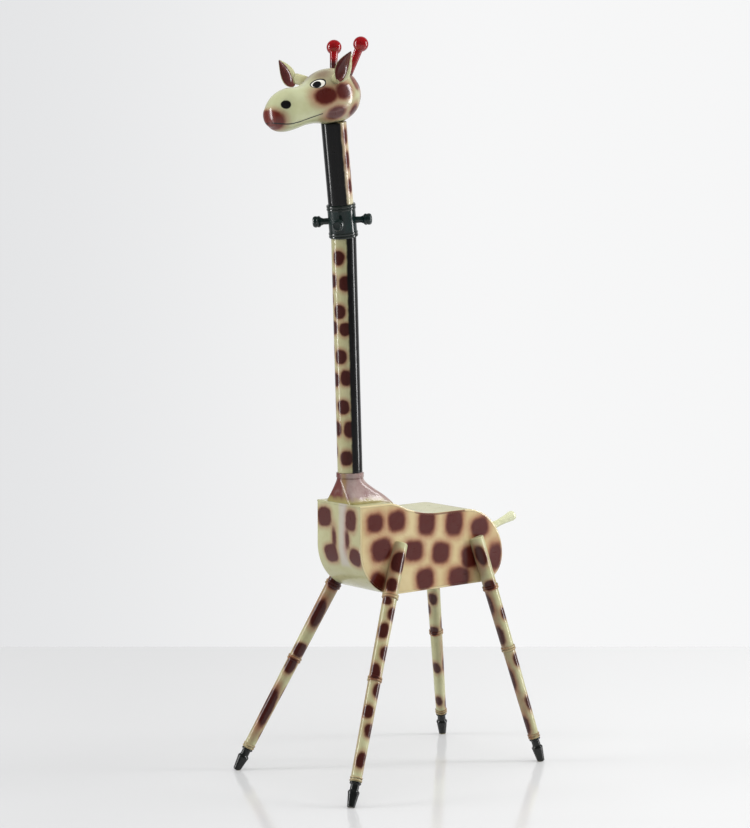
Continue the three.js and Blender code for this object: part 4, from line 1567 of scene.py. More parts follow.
@dataclass
class Legs:
    """The four turned legs with their beads, hooves and screws."""

    shop: Workshop
    beads: BeadRings
    half_width: float = 67.0
    belly: float = 365.5
    gap: float = 0.3
    top_radius: float = 15.5
    foot_radius: float = 10.8
    top_ease: float = 1.6
    ring_lip: float = 1.9
    bead_length: float = 5.2
    groove_depth: float = 0.75
    sole_height: float = 0.6
    worn_height: float = 1.5
    hoof_lip: float = 11.2
    spigot: float = 5.0
    spigot_length: float = 16.0

    def build(self) -> None:
        """Builds every leg."""
        for spec in (FRONT_LEGS, REAR_LEGS):
            for side in Side:
                self.build_leg(spec, side)

    def line(self, spec: LegSpec, side: Side) -> tuple[Matrix, float]:
        """Works out where a leg stands.

        Args:
            spec: The pair that the leg belongs to.
            side: The leg's side.

        Returns:
            The leg's frame, which stands on its sole, and its length.
        """
        top = Vector((side.value * (self.half_width + spec.proud), spec.top_y, self.belly + spec.above_belly))
        sole = Vector((top.x + side.value * spec.out, spec.top_y + spec.stride, self.sole_height))
        return frame_along(sole, top - sole), (top - sole).length + spec.end

    def radius(self, spec: LegSpec, length: float, height: float | Array) -> float | Array:
        """The pole's radius at a height."""
        low = spec.rings[0]
        return self.foot_radius + (self.top_radius - self.foot_radius) * (height - low) / (length - low)

    def build_leg(self, spec: LegSpec, side: Side) -> None:
        """Builds one leg, its beads and its hoof, and dresses its screws.

        Args:
            spec: The pair that the leg belongs to.
            side: The leg's side.
        """
        word = f"{spec.word}_{side.word}"
        frame, length = self.line(spec, side)
        seat = spec.rings[0] - self.bead_length

        def paint(points: Array, _facing: Array) -> Fields:
            """Masks the pole: its spots and its painted shade.

            Args:
                points: The corners' places.
                _facing: The directions of their faces, which change nothing.

            Returns:
                The distance to each layer of paint.
            """
            local = in_frame(frame, points)
            return {
                "spots": pole_spot_distance(local, spec.spots[side]),
                "shade": pole_spot_distance(local, spec.painted_shades[side]),
            }

        def paint_rings(points: Array, facing: Array) -> Fields:
            """Masks the beads: the same, and the painted shade in the grooves between them.

            Args:
                points: The corners' places.
                facing: The directions of their faces.

            Returns:
                The distance to each layer of paint.
            """
            local = in_frame(frame, points)
            past = np.hypot(local[:, 0], local[:, 1]) - self.radius(spec, length, local[:, 2])
            return {**paint(points, facing), "groove": past - self.groove_depth}

        foot_radius = self.radius(spec, length, spec.rings[0])
        profile = [
            (foot_radius, seat), (foot_radius, seat + 0.5), (self.top_radius - 0.4, length - self.top_ease),
            (self.top_radius - 1.8, length),
        ]
        pole = self.shop.mesh(f"pole_{word}", turned(profile, 72, 0.6).moved(frame))
        face = Vector((side.value * (self.half_width + self.gap), 0, 0))
        self.shop.cut(pole, face, Vector((-side.value, 0, 0)))
        self.shop.mask(pole, paint)
        self.shop.finish(pole, "leg", STAND, [f"leg_{word}"], "leg_paint")
        heights = [ring + step * self.bead_length for ring in spec.rings for step in (-0.5, 0.5)]
        rows = [(height, self.radius(spec, length, height)) for height in heights]
        half = self.bead_length / 2 - 0.1
        rings = self.beads.beads(
            self.shop, f"beads_{word}", frame, rows, half, self.ring_lip, self.shop.paint["ring"]
        )
        self.shop.mask(rings, paint_rings)
        self.shop.finish(rings, "ring", STAND, [], "leg_paint")
        self.build_hoof(word, frame, seat - self.gap)
        for level in ("upper", "lower"):
            self.shop.dress_node(f"leg_screw_{word}_{level}", self.shop.steel)

    def build_hoof(self, word: str, frame: Matrix, top: float) -> None:
        """Builds one hoof with its spigot, cut level with the floor.

        Args:
            word: The leg's name.
            frame: The leg's frame.
            top: The hoof's height along the leg.
        """
        ankle, lip, spigot = HOOF_FOOT[-1][0], self.hoof_lip, self.spigot
        profile = [
            *HOOF_FOOT, (ankle, top - 5.4), (lip, top - 3.2), (lip, top - 0.9), (lip - 1.2, top),
            (spigot, top), (spigot, top + self.spigot_length - 0.8), (spigot - 0.8, top + self.spigot_length),
        ]
        thing = self.shop.mesh(f"foot_{word}", turned(profile, 48, 0.7, 2.0).moved(frame))
        self.shop.cut(thing, Vector((0, 0, 0)), Vector((0, 0, -1)))
        self.shop.mask(thing, lambda points, _facing: {"worn_sole": points[:, 2] - self.worn_height})
        self.shop.finish(thing, "hoof", STAND, [f"hoof_{word}"], "hoof_paint")


# ---------------------------------------------------------------- neck


LOWER_NECK_SPOTS = (
    Spot(418, -66, 14, 12, 6), Spot(368, -38, 15, 12, -4), Spot(314, -70, 14, 13),
    Spot(280, -44, 13, 12, 8), Spot(227, -70, 14, 13), Spot(186, -45, 15, 12), Spot(130, -64, 14, 13, -6),
    Spot(85, -36, 16, 11), Spot(30, -54, 15, 13), Spot(373, -104, 13, 11), Spot(283, -106, 13, 11),
    Spot(182, -104, 14, 11), Spot(87, -100, 14, 11), Spot(338, -136, 13, 11), Spot(238, -140, 13, 11),
    Spot(132, -138, 14, 11), Spot(44, -132, 13, 11),
)
UPPER_NECK_SPOTS = (
    Spot(196, 18, 14, 7), Spot(150, 18, 17, 7), Spot(100, 22, 14, 7), Spot(206, 66, 13, 11),
    Spot(168, 92, 14, 12), Spot(124, 62, 14, 12), Spot(84, 100, 12, 11), Spot(186, 140, 14, 11),
    Spot(138, 150, 14, 11), Spot(92, 148, 12, 10),
)


PEG_END = 57.0
# Radius and distance from the collar's axis.
PEG_PROFILE: Profile = [
    (5.3, 17.6), (6.3, 18.6), (6.3, 30), (6.1, 36.4), (7.8, 41.2), (11, 44.4), (11, 47.4), (10.2, 48.2),
    (10.2, 49.2), (11, 50), (11, PEG_END - 3.2), (9.4, PEG_END - 0.6), (7.8, PEG_END), (6.6, PEG_END),
    (6.0, PEG_END - 0.9), (0.3, PEG_END - 1.1),
]
PEGS = ("front_left", "back_left", "back_right", "front_right")


@dataclass
class Neck:
    """The socket, the two poles, the collar between them and its pegs."""

    shop: Workshop
    beads: BeadRings
    outline: BodyOutline
    radius: float = 24.3
    foot_y: float = -63.5
    lean: float = 1.9
    lower_length: float = 457.0
    upper_length: float = 157.0
    tenon: float = 17.0
    tenon_depth: float = 38.0
    lower_tenon: float = 22.0
    head_spigot: float = 9.0
    head_spigot_length: float = 30.0
    gap: float = 0.3
    sides: int = 96
    # How far the black reaches round each pole, in degrees either way.
    lower_black: float = 62.0
    upper_black: float = 98.0
    # The collar: its size, how it leans about X and Y in degrees, and its beads and holes.
    collar_radius: float = 27.0
    collar_length: float = 64.0
    collar_lean: tuple[float, float] = (9.6, 4.3)
    collar_ring: float = 11.0
    collar_lip: float = 1.5
    peg_hole: float = 6.6
    peg_reach: float = 60.0
    # The socket: its foot's half width and depth, its waist, its rim, and how quickly it flares.
    socket_height: float = 58.5
    socket_foot: tuple[float, float] = (42.0, 113.0)
    socket_waist: float = 25.8
    socket_lip: float = 3.0
    rim_radius: float = 26.9
    rim_height: float = 11.0
    flare: float = 1.7
    foot_corner: float = 8.0
    socket_steps: int = 22

    def __post_init__(self) -> None:
        """Works out the frames of the poles and the collar."""
        lean = math.radians(self.lean)
        rim = Vector((0, self.foot_y, self.outline.chest_top + self.socket_height))
        self.lower = frame_along(rim, Vector((0, -math.sin(lean), math.cos(lean))))
        place, _ = self.shop.joint_frame("neck_swivel")
        about_x, about_y = (math.radians(angle) for angle in self.collar_lean)
        rotation = Matrix.Rotation(about_y, 3, "Y") @ Matrix.Rotation(about_x, 3, "X")
        self.collar = Matrix.Translation(place) @ rotation.to_4x4()

    def build(self) -> None:
        """Builds every piece of the neck."""
        self.build_socket()
        self.build_lower()
        self.build_collar()
        self.build_pegs()
        self.build_upper()

    def socket_sections(self) -> list[tuple[float, ...]]:
        """Lists the socket's sections from its foot to its rim.

        Returns:
            Height, half width, half depth, middle along Y, squareness and share of the body's fall.
        """
        half_foot, depth = self.socket_foot
        waist, lip, top = self.socket_waist, self.socket_lip, self.outline.chest_top
        ahead = self.foot_y - self.outline.front - waist
        behind = depth - ahead - 2 * waist
        rows = []
        for climb in np.linspace(0, 1, self.socket_steps):
            spread = (1 - climb) ** self.flare
            front = self.foot_y - waist - ahead * spread
            rear = self.foot_y + waist + behind * spread
            z = top + lip + (self.socket_height - self.rim_height - lip) * climb
            half_x = waist + (half_foot - waist) * spread
            square = 2 + self.foot_corner * spread
            rows.append((z, half_x, (rear - front) / 2, (rear + front) / 2, square, 1 - climb))
        rows.insert(0, (top - lip, *rows[0][1:]))
        rim = self.rim_radius
        for below, radius in ((10.4, rim - 0.4), (9.6, rim), (1.4, rim), (0.7, rim - 0.7)):
            rows.append((top + self.socket_height - below, radius, radius, self.foot_y, 2, 0))
        return rows

    def paint_socket(self, points: Array, facing: Array) -> Fields:
        """Masks the socket: a red front, a slanting stripe, a yellow foot and the line under its rim.

        Args:
            points: The corners' places.
            facing: The directions of their faces.

        Returns:
            The distance to each layer of paint.
        """
        x, y, z = points.T
        top = self.outline.chest_top
        slant = np.clip(z - top, 0, 50) * 0.2
        return {
            "front_side": facing[:, 0] * 1.6 + facing[:, 1] * 0.9 + 0.25,
            "stripe": np.abs(x - 20 + slant) - 5 + 9 * (facing[:, 1] > -0.4),
            "foot": z - (top + 8 - np.clip(y + 30, 0, 60) * 0.35),
            "rim": np.abs(z - top - self.socket_height + self.rim_height) - 0.7,
        }

    def build_socket(self) -> None:
        """Builds the flared socket, whose foot follows the body's top."""
        shoulder, start = self.outline.shoulder_radius, self.outline.shoulder_start
        sections = self.socket_sections()
        rings = np.empty((len(sections), self.sides, 3))
        for ring, (z, half_x, half_y, y, square, fall) in zip(rings, sections):
            across, along = squared_circle(self.sides, 2 / square)
            ring[:, 0] = half_x * across
            ring[:, 1] = y + half_y * along
            past = np.clip(ring[:, 1] - start, 0, shoulder)
            ring[:, 2] = z - fall * (shoulder - np.sqrt(shoulder**2 - past**2))
        rings[0, :, 2] = self.outline.top_at(rings[0, :, 1]) + self.gap
        rings[1:, :, 2] = np.maximum(rings[1:, :, 2], rings[0, None, :, 2] + 0.4)
        thing = self.shop.mesh("socket_carved", stack_rings(rings), 32.0)
        self.shop.cut(thing, self.lower @ Vector((0, 0, 0)), self.lower.to_3x3() @ Vector((0, 0, 1)))
        self.shop.mask(thing, self.paint_socket)
        self.shop.finish(thing, "socket", STAND, ["neck_socket"], "socket_paint")

    def pole_paint(self, frame: Matrix, spots: Sequence[Spot], bearing: float, reach: float) -> Painter:
        """Makes the painter of a pole that is black on one side and spotted on the other.

        Args:
            frame: The pole's frame.
            spots: Its spots.
            bearing: The bearing of the black side's middle, in degrees.
            reach: How far the black goes either way, in degrees.

        Returns:
            The painter.
        """

        def paint(points: Array, _facing: Array) -> Fields:
            """Masks the pole: its spots and its black side.

            Args:
                points: The corners' places.
                _facing: The directions of their faces, which change nothing.

            Returns:
                The distance to each layer of paint.
            """
            local = in_frame(frame, points)
            turn = np.degrees(np.arctan2(local[:, 1], local[:, 0]))
            off = np.abs((turn - bearing + 180) % 360 - 180)
            return {
                "spots": pole_spot_distance(local, spots),
                "black_side": np.radians(reach - off) * self.radius,
            }

        return paint

    def build_lower(self) -> None:
        """Builds the lower pole, whose top is cut square to the collar, and its two tenons."""
        bottom = -self.socket_height - self.tenon_depth
        profile = [
            (self.tenon - 1, bottom), (self.tenon, bottom + 1), (self.tenon, self.gap),
            (self.radius, self.gap), (self.radius, self.lower_length + self.radius),
        ]
        pole = self.shop.mesh("pole_lower_neck", turned(profile, self.sides, 0.3).moved(self.lower))
        up = self.collar.to_3x3() @ Vector((0, 0, 1))
        self.shop.cut(pole, self.collar @ Vector((0, 0, -self.gap)), up)
        paint = self.pole_paint(self.lower, LOWER_NECK_SPOTS, -90.0, self.lower_black)
        self.shop.mask(pole, paint)
        self.shop.finish(pole, "lower_neck", STAND, ["lower_neck"], "neck_paint")
        top = turned([(self.tenon, -2.0), (self.tenon, self.lower_tenon)], 64, 0.5).moved(self.collar)
        tenon = self.shop.mesh("tenon_lower_neck", top)
        self.shop.mask(tenon, paint)
        self.shop.finish(tenon, "lower_neck", STAND, [], "neck_paint")

    def build_collar(self) -> None:
        """Builds the collar with its bore and peg holes, and the beads at its ends."""
        r, length, bore = self.collar_radius, self.collar_length, self.tenon + self.gap
        rows = [(r - 0.6, 0.0), (r, 0.6), (r, length - 0.6), (r - 0.6, length)]
        thing = self.shop.mesh("collar_turned", turned(rows, self.sides, 0.4).moved(self.collar))
        cutters = [turned([(bore, -2), (bore, length + 2)], 64, 0.0, 80).moved(self.collar)]
        for name in PEGS[:2]:
            place, axis = self.shop.joint_frame(f"peg_turn_{name}")
            drill = [(self.peg_hole, -self.peg_reach), (self.peg_hole, self.peg_reach)]
            cutters.append(turned(drill, 40, 0.0, 200).moved(frame_along(place, axis)))
        for i, cutter in enumerate(cutters):
            tool = self.shop.mesh(f"collar_cutter_{i}", cutter)
            modifier = thing.modifiers.new("bore", "BOOLEAN")
            modifier.operation = "DIFFERENCE"
            modifier.solver = "EXACT"
            modifier.object = tool
            data = plain_copy(thing)
            thing.modifiers.remove(modifier)
            thing.data = data
            bpy.data.objects.remove(tool)
        thing.data.name = "collar_turned"
        shade_smooth(thing.data)
        self.true_round(thing)
        self.shop.finish(thing, "collar", STAND, ["collar"], "collar_paint")
        half = self.collar_ring / 4
        heights = [half, 3 * half, length - 3 * half, length - half]
        rows = [(height, r - 0.2) for height in heights]
        paint = self.shop.paint["collar_ring"]
        rings = self.beads.beads(
            self.shop, "collar_beads", self.collar, rows, half - 0.15, self.collar_lip, paint
        )
        self.shop.finish(rings, "collar_ring", STAND, [], "collar_paint")

    def true_round(self, thing: bpy.types.Object) -> None:
        """Points the outer normals away from the axis, so that the peg holes leave no dents in the shine.

        Args:
            thing: The collar.
        """
        data = thing.data
        places = np.empty(len(data.vertices) * 3)
        data.vertices.foreach_get("co", places)
        local = in_frame(self.collar, places.reshape(-1, 3) / MM - np.array(self.shop.shift))
        away = local * np.array([1.0, 1.0, 0.0])
        reach = np.linalg.norm(away, axis=1)
        away = away / reach[:, None] @ np.array(self.collar.to_3x3()).T
        normals = [tuple(corner.vector) for corner in data.corner_normals]
        for face in data.polygons:
            direction = np.array(face.normal)
            for loop in face.loop_indices:
                vertex = data.loops[loop].vertex_index
                if reach[vertex] > self.collar_radius - 0.05 and direction @ away[vertex] > 0.9:
                    normals[loop] = tuple(away[vertex])
        data.normals_split_custom_set(normals)

    def build_pegs(self) -> None:
        """Builds the four turned pegs, each on its own body."""
        for name in PEGS:
            place, axis = self.shop.joint_frame(f"peg_turn_{name}")
            shape = turned(PEG_PROFILE, 48, 0.5, 3.0).moved(frame_along(place, axis))
            thing = self.shop.mesh(f"peg_{name}", shape)
            self.shop.finish(thing, "collar", f"peg_{name}", [f"collar_peg_{name}"], "collar_paint")

    def build_upper(self) -> None:
        """Builds the upper pole with its tenon and the spigot for the head."""
        seat = self.collar_length + self.gap
        top = seat + self.upper_length
        bottom = self.lower_tenon + self.gap
        spigot, tip = self.head_spigot, top + self.head_spigot_length
        profile = [
            (self.tenon - 0.6, bottom), (self.tenon, bottom + 0.6), (self.tenon, seat), (self.radius, seat),
            (self.radius, top), (spigot, top), (spigot, tip - 1), (spigot - 1, tip),
        ]
        pole = self.shop.mesh("pole_upper_neck", turned(profile, self.sides, 0.3).moved(self.collar))
        self.shop.mask(pole, self.pole_paint(self.collar, UPPER_NECK_SPOTS, 90.0, self.upper_black))
        self.shop.finish(pole, "upper_neck", "upper_neck", ["upper_neck"], "neck_paint")


# ---------------------------------------------------------------- head

Blob = tuple[tuple[float, float, float], tuple[float, float, float]]

# Painted patches on the left half of the head, which the right half repeats: middle and radii.
HEAD_SPOTS: tuple[Blob, ...] = (
    ((46, -43, 54), (22, 24, 16)), ((51, -3, 57), (20, 19, 15)), ((42, -21, 18), (20, 20, 14)),
    ((36, 24, 17), (14, 12, 12)), ((22, 50, 66), (16, 14, 13)), ((16, 50, 32), (12, 14, 11)),
)
NAPE: Blob = ((38, 36, 70), (12, 12, 17))
CROWN: Blob = ((20, -24, 94), (24, 24, 16))
NOSE: Blob = ((4, -148, 25), (30, 28, 20))
NOSTRIL: Blob = ((31, -127, 51), (10.5, 9.5, 8.5))


@dataclass(frozen=True)
class Eye:
    """One painted eye: its middle, the directions along it and out of it, and its sizes."""

    middle: tuple[float, float, float] = (29, -45, 78)
    along: tuple[float, float, float] = (15.0, 20.0, 1.0)
    out: tuple[float, float, float] = (0.66, -0.52, 0.54)
    half_length: float = 13.4
    half_height: float = 9.6
    pupil: float = 8.4
    pupil_off: tuple[float, float] = (2.4, 1.2)
    depth: float = 14.0

    def masks(self, points: Array) -> Fields:
        """Masks the eye.

        Args:
            points: Points in the head's frame, with the right half mirrored.

        Returns:
            The distances to its edge, its white and its pupil.
        """
        along = np.array(self.along)
        along /= np.linalg.norm(along)
        out = np.array(self.out)
        out -= along * (out @ along)
        out /= np.linalg.norm(out)
        up = np.cross(out, along)
        up *= np.sign(up[2])
        rel = points - np.array(self.middle)
        u, v = rel @ along, rel @ up
        far = np.abs(rel @ out) > self.depth
        white = (np.sqrt((u / self.half_length) ** 2 + (v / self.half_height) ** 2) - 1) * self.half_height
        pupil = np.sqrt((u + self.pupil_off[0]) ** 2 + (v + self.pupil_off[1]) ** 2) - self.pupil
        return {
            "eye_edge": np.where(far, FAR, white - 1.5 - np.clip(v, 0, 9) * 0.16),
            "eye_white": np.where(far, FAR, white),
            "pupil": np.where(far, FAR, np.maximum(pupil, white - 0.3)),
        }


@dataclass(frozen=True)
class EarShape:
    """One scooped ear and its stalk, from the head's surface at root to the leaf."""

    length: float = 72.0
    width: float = 36.0
    depth: float = 24.0
    rim: float = 2.2
    steps: int = 40
    half: int = 24
    rim_angle: float = -0.42
    tilt: float = 41.0
    foot: tuple[float, float, float] = (68, -29, 76.5)
    root: tuple[float, float, float] = (41, -12, 80)

    def swell(self, share: float | Array) -> float | Array:
        """How full the leaf is at a share of its length."""
        return np.sin(math.pi * share**0.72)

    def frame(self, side: Side) -> Matrix:
        """Works out where an ear stands.

        Args:
            side: The ear's side.

        Returns:
            A frame at the leaf's bottom, with +Z to its tip and -Y forward.
        """
        tilt = math.radians(self.tilt)
        along = Vector((side.value * math.sin(tilt), 0.1, math.cos(tilt))).normalized()
        across = Vector((0, 1, 0)).cross(along).normalized()
        frame = Matrix((across, along.cross(across), along)).transposed().to_4x4()
        frame.translation = Vector((side.value * self.foot[0], *self.foot[1:]))
        return frame

    def leaf(self) -> Shape:
        """Makes the scooped leaf.

        Returns:
            The leaf in its own frame.
        """
        rings = []
        for i in range(1, self.steps):
            share = i / self.steps
            share += 0.5 / self.steps * math.cos(math.pi * share)
            half_x, half_y = self.width / 2 * self.swell(share), self.depth / 2 * self.swell(share)
            rim_x, rim_y = half_x * math.cos(self.rim_angle), half_y * math.sin(self.rim_angle)
            outer = np.linspace(self.rim_angle, math.pi - self.rim_angle, self.half)
            inner = np.linspace(math.pi, 0, self.half)[1:-1]
            wall = min(self.rim, half_y * 0.35)
            bowl = half_y - wall - rim_y
            xs = np.concatenate([half_x * np.cos(outer), (rim_x - wall * 0.4) * np.cos(inner)])
            ys = np.concatenate([half_y * np.sin(outer), rim_y + bowl * np.sin(inner) ** 0.8])
            rings.append(np.column_stack([xs, ys, np.full(len(xs), self.length * share)]))
        return stack_rings(np.array(rings))

    def stalk(self, side: Side) -> Shape:
        """Makes the stalk, whose end is pressed into the wall of the leaf.

        Args:
            side: The ear's side.

        Returns:
            The stalk in the head's frame.
        """
        frame = self.frame(side)
        root = Vector((side.value * self.root[0], *self.root[1:]))
        seat = frame @ Vector((0, self.depth * 0.1, self.length * 0.34))
        reach = (seat - root).length
        profile = [
            (9, -12), (9.4, 0), (10.4, reach * 0.3), (10.6, reach * 0.6), (8.6, reach * 0.95), (4, reach + 4)
        ]
        stalk = turned(profile, 40, 3.0, 2.0).moved(frame_along(root, seat - root))
        inside = in_frame(frame, stalk.points)
        swell = self.swell(np.clip(inside[:, 2] / self.length, 0, 1))
        share = np.abs(inside[:, 0]) / (self.width / 2 * swell + 1e-6)
        wall = self.depth / 2 * swell * np.sqrt(np.clip(1 - share**2, 0, 1)) - self.rim / 2
        inside[:, 1] = np.where(share < 0.98, np.maximum(inside[:, 1], wall), inside[:, 1])
        return Shape(inside, stalk.faces).moved(frame)


@dataclass
class Head:
    """The carved head with its ears and horns, in the frame that stands on the neck's top."""

    shop: Workshop
    neck: Neck
    width: float = 102.0
    height: float = 105.0
    back: float = 62.0
    nose: float = 150.0
    roll: float = -6.0
    sides: int = 120
    nostril_dent: float = 3.0
    ear: EarShape = EarShape()
    eye: Eye = Eye()
    # The horns: ball, stem's top and foot, length, root, lean, and how far each stem is dark.
    horn_ball: float = 14.55
    horn_top: float = 7.8
    horn_foot: float = 6.6
    horn_length: float = 64.0
    horn_root: tuple[float, float, float] = (0.46, 33.0, 0.78)
    horn_lean: tuple[float, float] = (0.33, 0.485)
    horn_dark: tuple[float, float] = (8.0, 34.0)
    # Sections from back to nose: distance forward, half width, top and bottom, as shares.
    sections: tuple[tuple[float, float, float, float], ...] = (
        (-0.9, 0.46, 1.44, 0.44), (-0.68, 0.74, 1.7, 0.18), (-0.34, 0.94, 1.88, 0), (0, 1, 1.94, -0.03),
        (0.13, 0.99, 1.88, 0), (0.25, 0.94, 1.71, 0.07), (0.36, 0.87, 1.54, 0.1), (0.5, 0.8, 1.48, 0.09),
        (0.66, 0.76, 1.5, 0.02), (0.79, 0.72, 1.4, 0), (0.89, 0.61, 1.2, 0.07), (0.96, 0.43, 0.98, 0.24),
    )
    # The mouth's height at places along Y, from the nose back to its corner.
    mouth: tuple[tuple[float, float], ...] = (
        (-156, 25), (-146, 19.5), (-126, 14.5), (-102, 15), (-77, 18.5), (-49, 22.5)
    )

    def __post_init__(self) -> None:
        """Works out the head's frame."""
        place, _ = self.shop.joint_frame("head_swivel")
        self.seat = self.neck.collar.copy()
        self.seat.translation = place
        self.frame = self.seat @ Matrix.Rotation(math.radians(self.roll), 4, "Y")

    def build(self) -> None:
        """Builds the head and everything on it."""
        self.build_skull()
        for side in Side:
            self.build_ear(side)
            self.build_horn(side)

    def skull(self) -> Shape:
        """Makes the head's surface.

        Returns:
            The surface in the head's frame.
        """
        half = self.height / 2
        rows = []
        for forward, width, top, bottom in self.sections:
            reach = forward * (self.back if forward < 0 else self.nose)
            rows.append((reach, width * self.width / 2, (top - bottom) / 2 * half, (top + bottom) / 2 * half))
        rows = np.array(rows)
        caps = []
        for reach, level, near, sign in ((-self.back, 0.98, rows[0], -1), (self.nose, 0.62, rows[-1], 1)):
            cap = []
            for share in np.linspace(0, math.pi / 2, 9)[1:]:
                size = math.cos(share)
                along = near[0] + (reach - near[0]) * math.sin(share)
                drift = near[3] + (level * half - near[3]) * (1 - size)
                cap.append((along, max(near[1] * size, 0.15), max(near[2] * size, 0.15), drift))
            caps.append(cap[::sign])
        stations = np.array([*caps[0], *smooth_rows(rows, 6), *caps[1]])
        across, up = squared_circle(self.sides, 2 / 2.15)
        rings = np.empty((len(stations), self.sides, 3))
        for ring, (forward, half_x, half_z, z) in zip(rings, stations):
            ring[:, 0] = half_x * across
            ring[:, 1] = -forward
            ring[:, 2] = z + half_z * up
        return stack_rings(rings)

    def paint(self, points: Array, _facing: Array) -> Fields:
        """Masks the face: spots, nose, mouth, nostrils, eyes and crown.

        Args:
            points: The corners' places.
            _facing: The directions of their faces, which change nothing.

        Returns:
            The distance to each layer of paint.
        """
        local = in_frame(self.frame, points)
        mirrored = np.column_stack([np.abs(local[:, 0]), local[:, 1:]])
        curve = smooth_rows(np.array(self.mouth, float), 8)
        lips = np.interp(local[:, 1], curve[:, 0], curve[:, 1])
        open_to = self.mouth[-1][0]
        return {
            "spots": np.min([blob_distance(mirrored, *spot) for spot in HEAD_SPOTS], axis=0),
            "nape": blob_distance(mirrored, *NAPE), "crown": blob_distance(mirrored, *CROWN),
            "nose": blob_distance(mirrored, *NOSE),
            "mouth": np.where(local[:, 1] < open_to, np.abs(local[:, 2] - lips), FAR),
            "nostril": blob_distance(mirrored, *NOSTRIL), **self.eye.masks(mirrored),
        }

    def build_skull(self) -> None:
        """Builds the head, cut square where it sits on the neck."""
        shape = self.skull()
        mirrored = np.column_stack([np.abs(shape.points[:, 0]), shape.points[:, 1:]])
        near = blob_distance(mirrored, *NOSTRIL)
        dent = np.clip(-near / 8, 0, 1) ** 0.7 * self.nostril_dent
        inward = np.array([0, -100, 48]) - shape.points
        inward /= np.linalg.norm(inward, axis=1)[:, None]
        shape.points = shape.points + inward * dent[:, None]
        thing = self.shop.mesh("head_carved", shape.moved(self.frame), 60.0)
        self.shop.cut(thing, self.seat.translation, self.seat.to_3x3() @ Vector((0, 0, -1)))
        self.shop.mask(thing, self.paint)
        self.shop.finish(thing, "head", "head", ["head"], "head_paint")

    def build_ear(self, side: Side) -> None:
        """Builds one ear: a scooped leaf on a stalk.

        Args:
            side: The ear's side.
        """
        ear = self.ear
        frame = ear.frame(side)
        root = np.array([side.value * ear.root[0], *ear.root[1:]])
        shape = ear.leaf().moved(frame).joined(ear.stalk(side)).moved(self.frame)
        thing = self.shop.mesh(f"ear_carved_{side.word}", shape, 40.0)

        def paint(points: Array, facing: Array) -> Fields:
            """Masks the ear: its hollow, its root and its tip.

            Args:
                points: The corners' places.
                facing: The directions of their faces.

            Returns:
                The distance to each layer of paint.
            """
            x, y, z = in_frame(self.frame @ frame, points).T
            forward = (facing @ np.array((self.frame @ frame).to_3x3()))[:, 1] < 0.2
            swell = ear.swell(np.clip(z / ear.length, 0, 1))
            half_x, half_y = ear.width / 2 * swell + 1e-6, ear.depth / 2 * swell + 1e-6
            within = np.sqrt((x / half_x) ** 2 + (y / half_y) ** 2) < 0.93
            hollow = within & forward & (z > 1) & (z < ear.length - 0.5)
            return {
                "inside": np.where(hollow, -1.0, 1.0),
                "ear_root": np.linalg.norm(in_frame(self.frame, points) - root, axis=1) - 12,
                "ear_tip": ear.length * 0.93 - z,
            }

        self.shop.mask(thing, paint)
        self.shop.finish(thing, "ear", "head", [f"ear_{side.word}"], "ear_paint")

    def build_horn(self, side: Side) -> None:
        """Builds one horn: a stem with a ball on its end.

        Args:
            side: The horn's side.
        """
        share_x, y, share_z = self.horn_root
        root = Vector((side.value * share_x * self.width / 2, y, share_z * self.height))
        frame = frame_along(root, Vector((side.value * self.horn_lean[0], self.horn_lean[1], 1)))
        ball, foot, length = self.horn_ball, self.horn_foot, self.horn_length
        profile = [(foot - 1, -14), (foot - 1, 0), (foot, 4)]
        join = math.asin(self.horn_top / ball)
        for share in np.linspace(0, 1, 30)[:-1]:
            turn = join + (math.pi - join) * share
            profile.append((ball * math.sin(turn), length - ball * math.cos(turn)))
        profile.append((0.2, length + ball))
        shape = turned(profile, 64, 1.2, 3.0).moved(self.frame @ frame)
        thing = self.shop.mesh(f"horn_turned_{side.word}", shape, 50.0)
        dark_to = self.horn_dark[0 if side is Side.LEFT else 1]

        def paint(points: Array, _facing: Array) -> Fields:
            """The dark foot of the stem."""
            return {"stem": in_frame(self.frame @ frame, points)[:, 2] - dark_to}

        self.shop.mask(thing, paint)
        self.shop.finish(thing, "horn", "head", [f"horn_{side.word}"], "horn_paint")


# ---------------------------------------------------------------- tail


@dataclass
class Tail:
    """The turned tail on the rump."""

    shop: Workshop
    outline: BodyOutline
    length: float = 101.5
    rise: float = 17.0
    height: float = 451.0
    stand_off: float = 4.5

    def build(self) -> None:
        """Builds the tail with its tenon."""
        line = self.outline
        tall = line.seat_top - line.bottom
        upper = line.rump_share * tall
        drop = self.height - (line.bottom + tall - upper)
        y = line.rear - upper + math.sqrt(upper**2 - drop**2)
        rise = math.radians(self.rise)
        frame = frame_along(Vector((0, y, self.height)), Vector((0, math.cos(rise), math.sin(rise))))
        n, s = self.length, self.stand_off
        profile = [
            (5.4, -24), (6, -23.4), (6, s), (10.2, s), (11.2, s + 1), (9.1, n * 0.22), (8, n * 0.38),
            (7, n * 0.58), (8, n * 0.74), (9.6, n * 0.88), (10.6, n * 0.94), (9.6, n - 1), (7.6, n), (0.4, n),
        ]
        thing = self.shop.mesh("tail_turned", turned(profile, 56, 3.0, 2.0).moved(frame))
        self.shop.finish(thing, "tail", STAND, ["tail"], "tail_paint")


# ---------------------------------------------------------------- the studio


@dataclass(frozen=True)
class Softbox:
    """One soft light: where it stands, its size in metres, its power and what it looks at."""

    name: str
    place: tuple[float, float, float]
    size: tuple[float, float]
    power: float
    aim: tuple[float, float, float] = (0.0, 0.0, 0.7)
    mirrored: bool = True


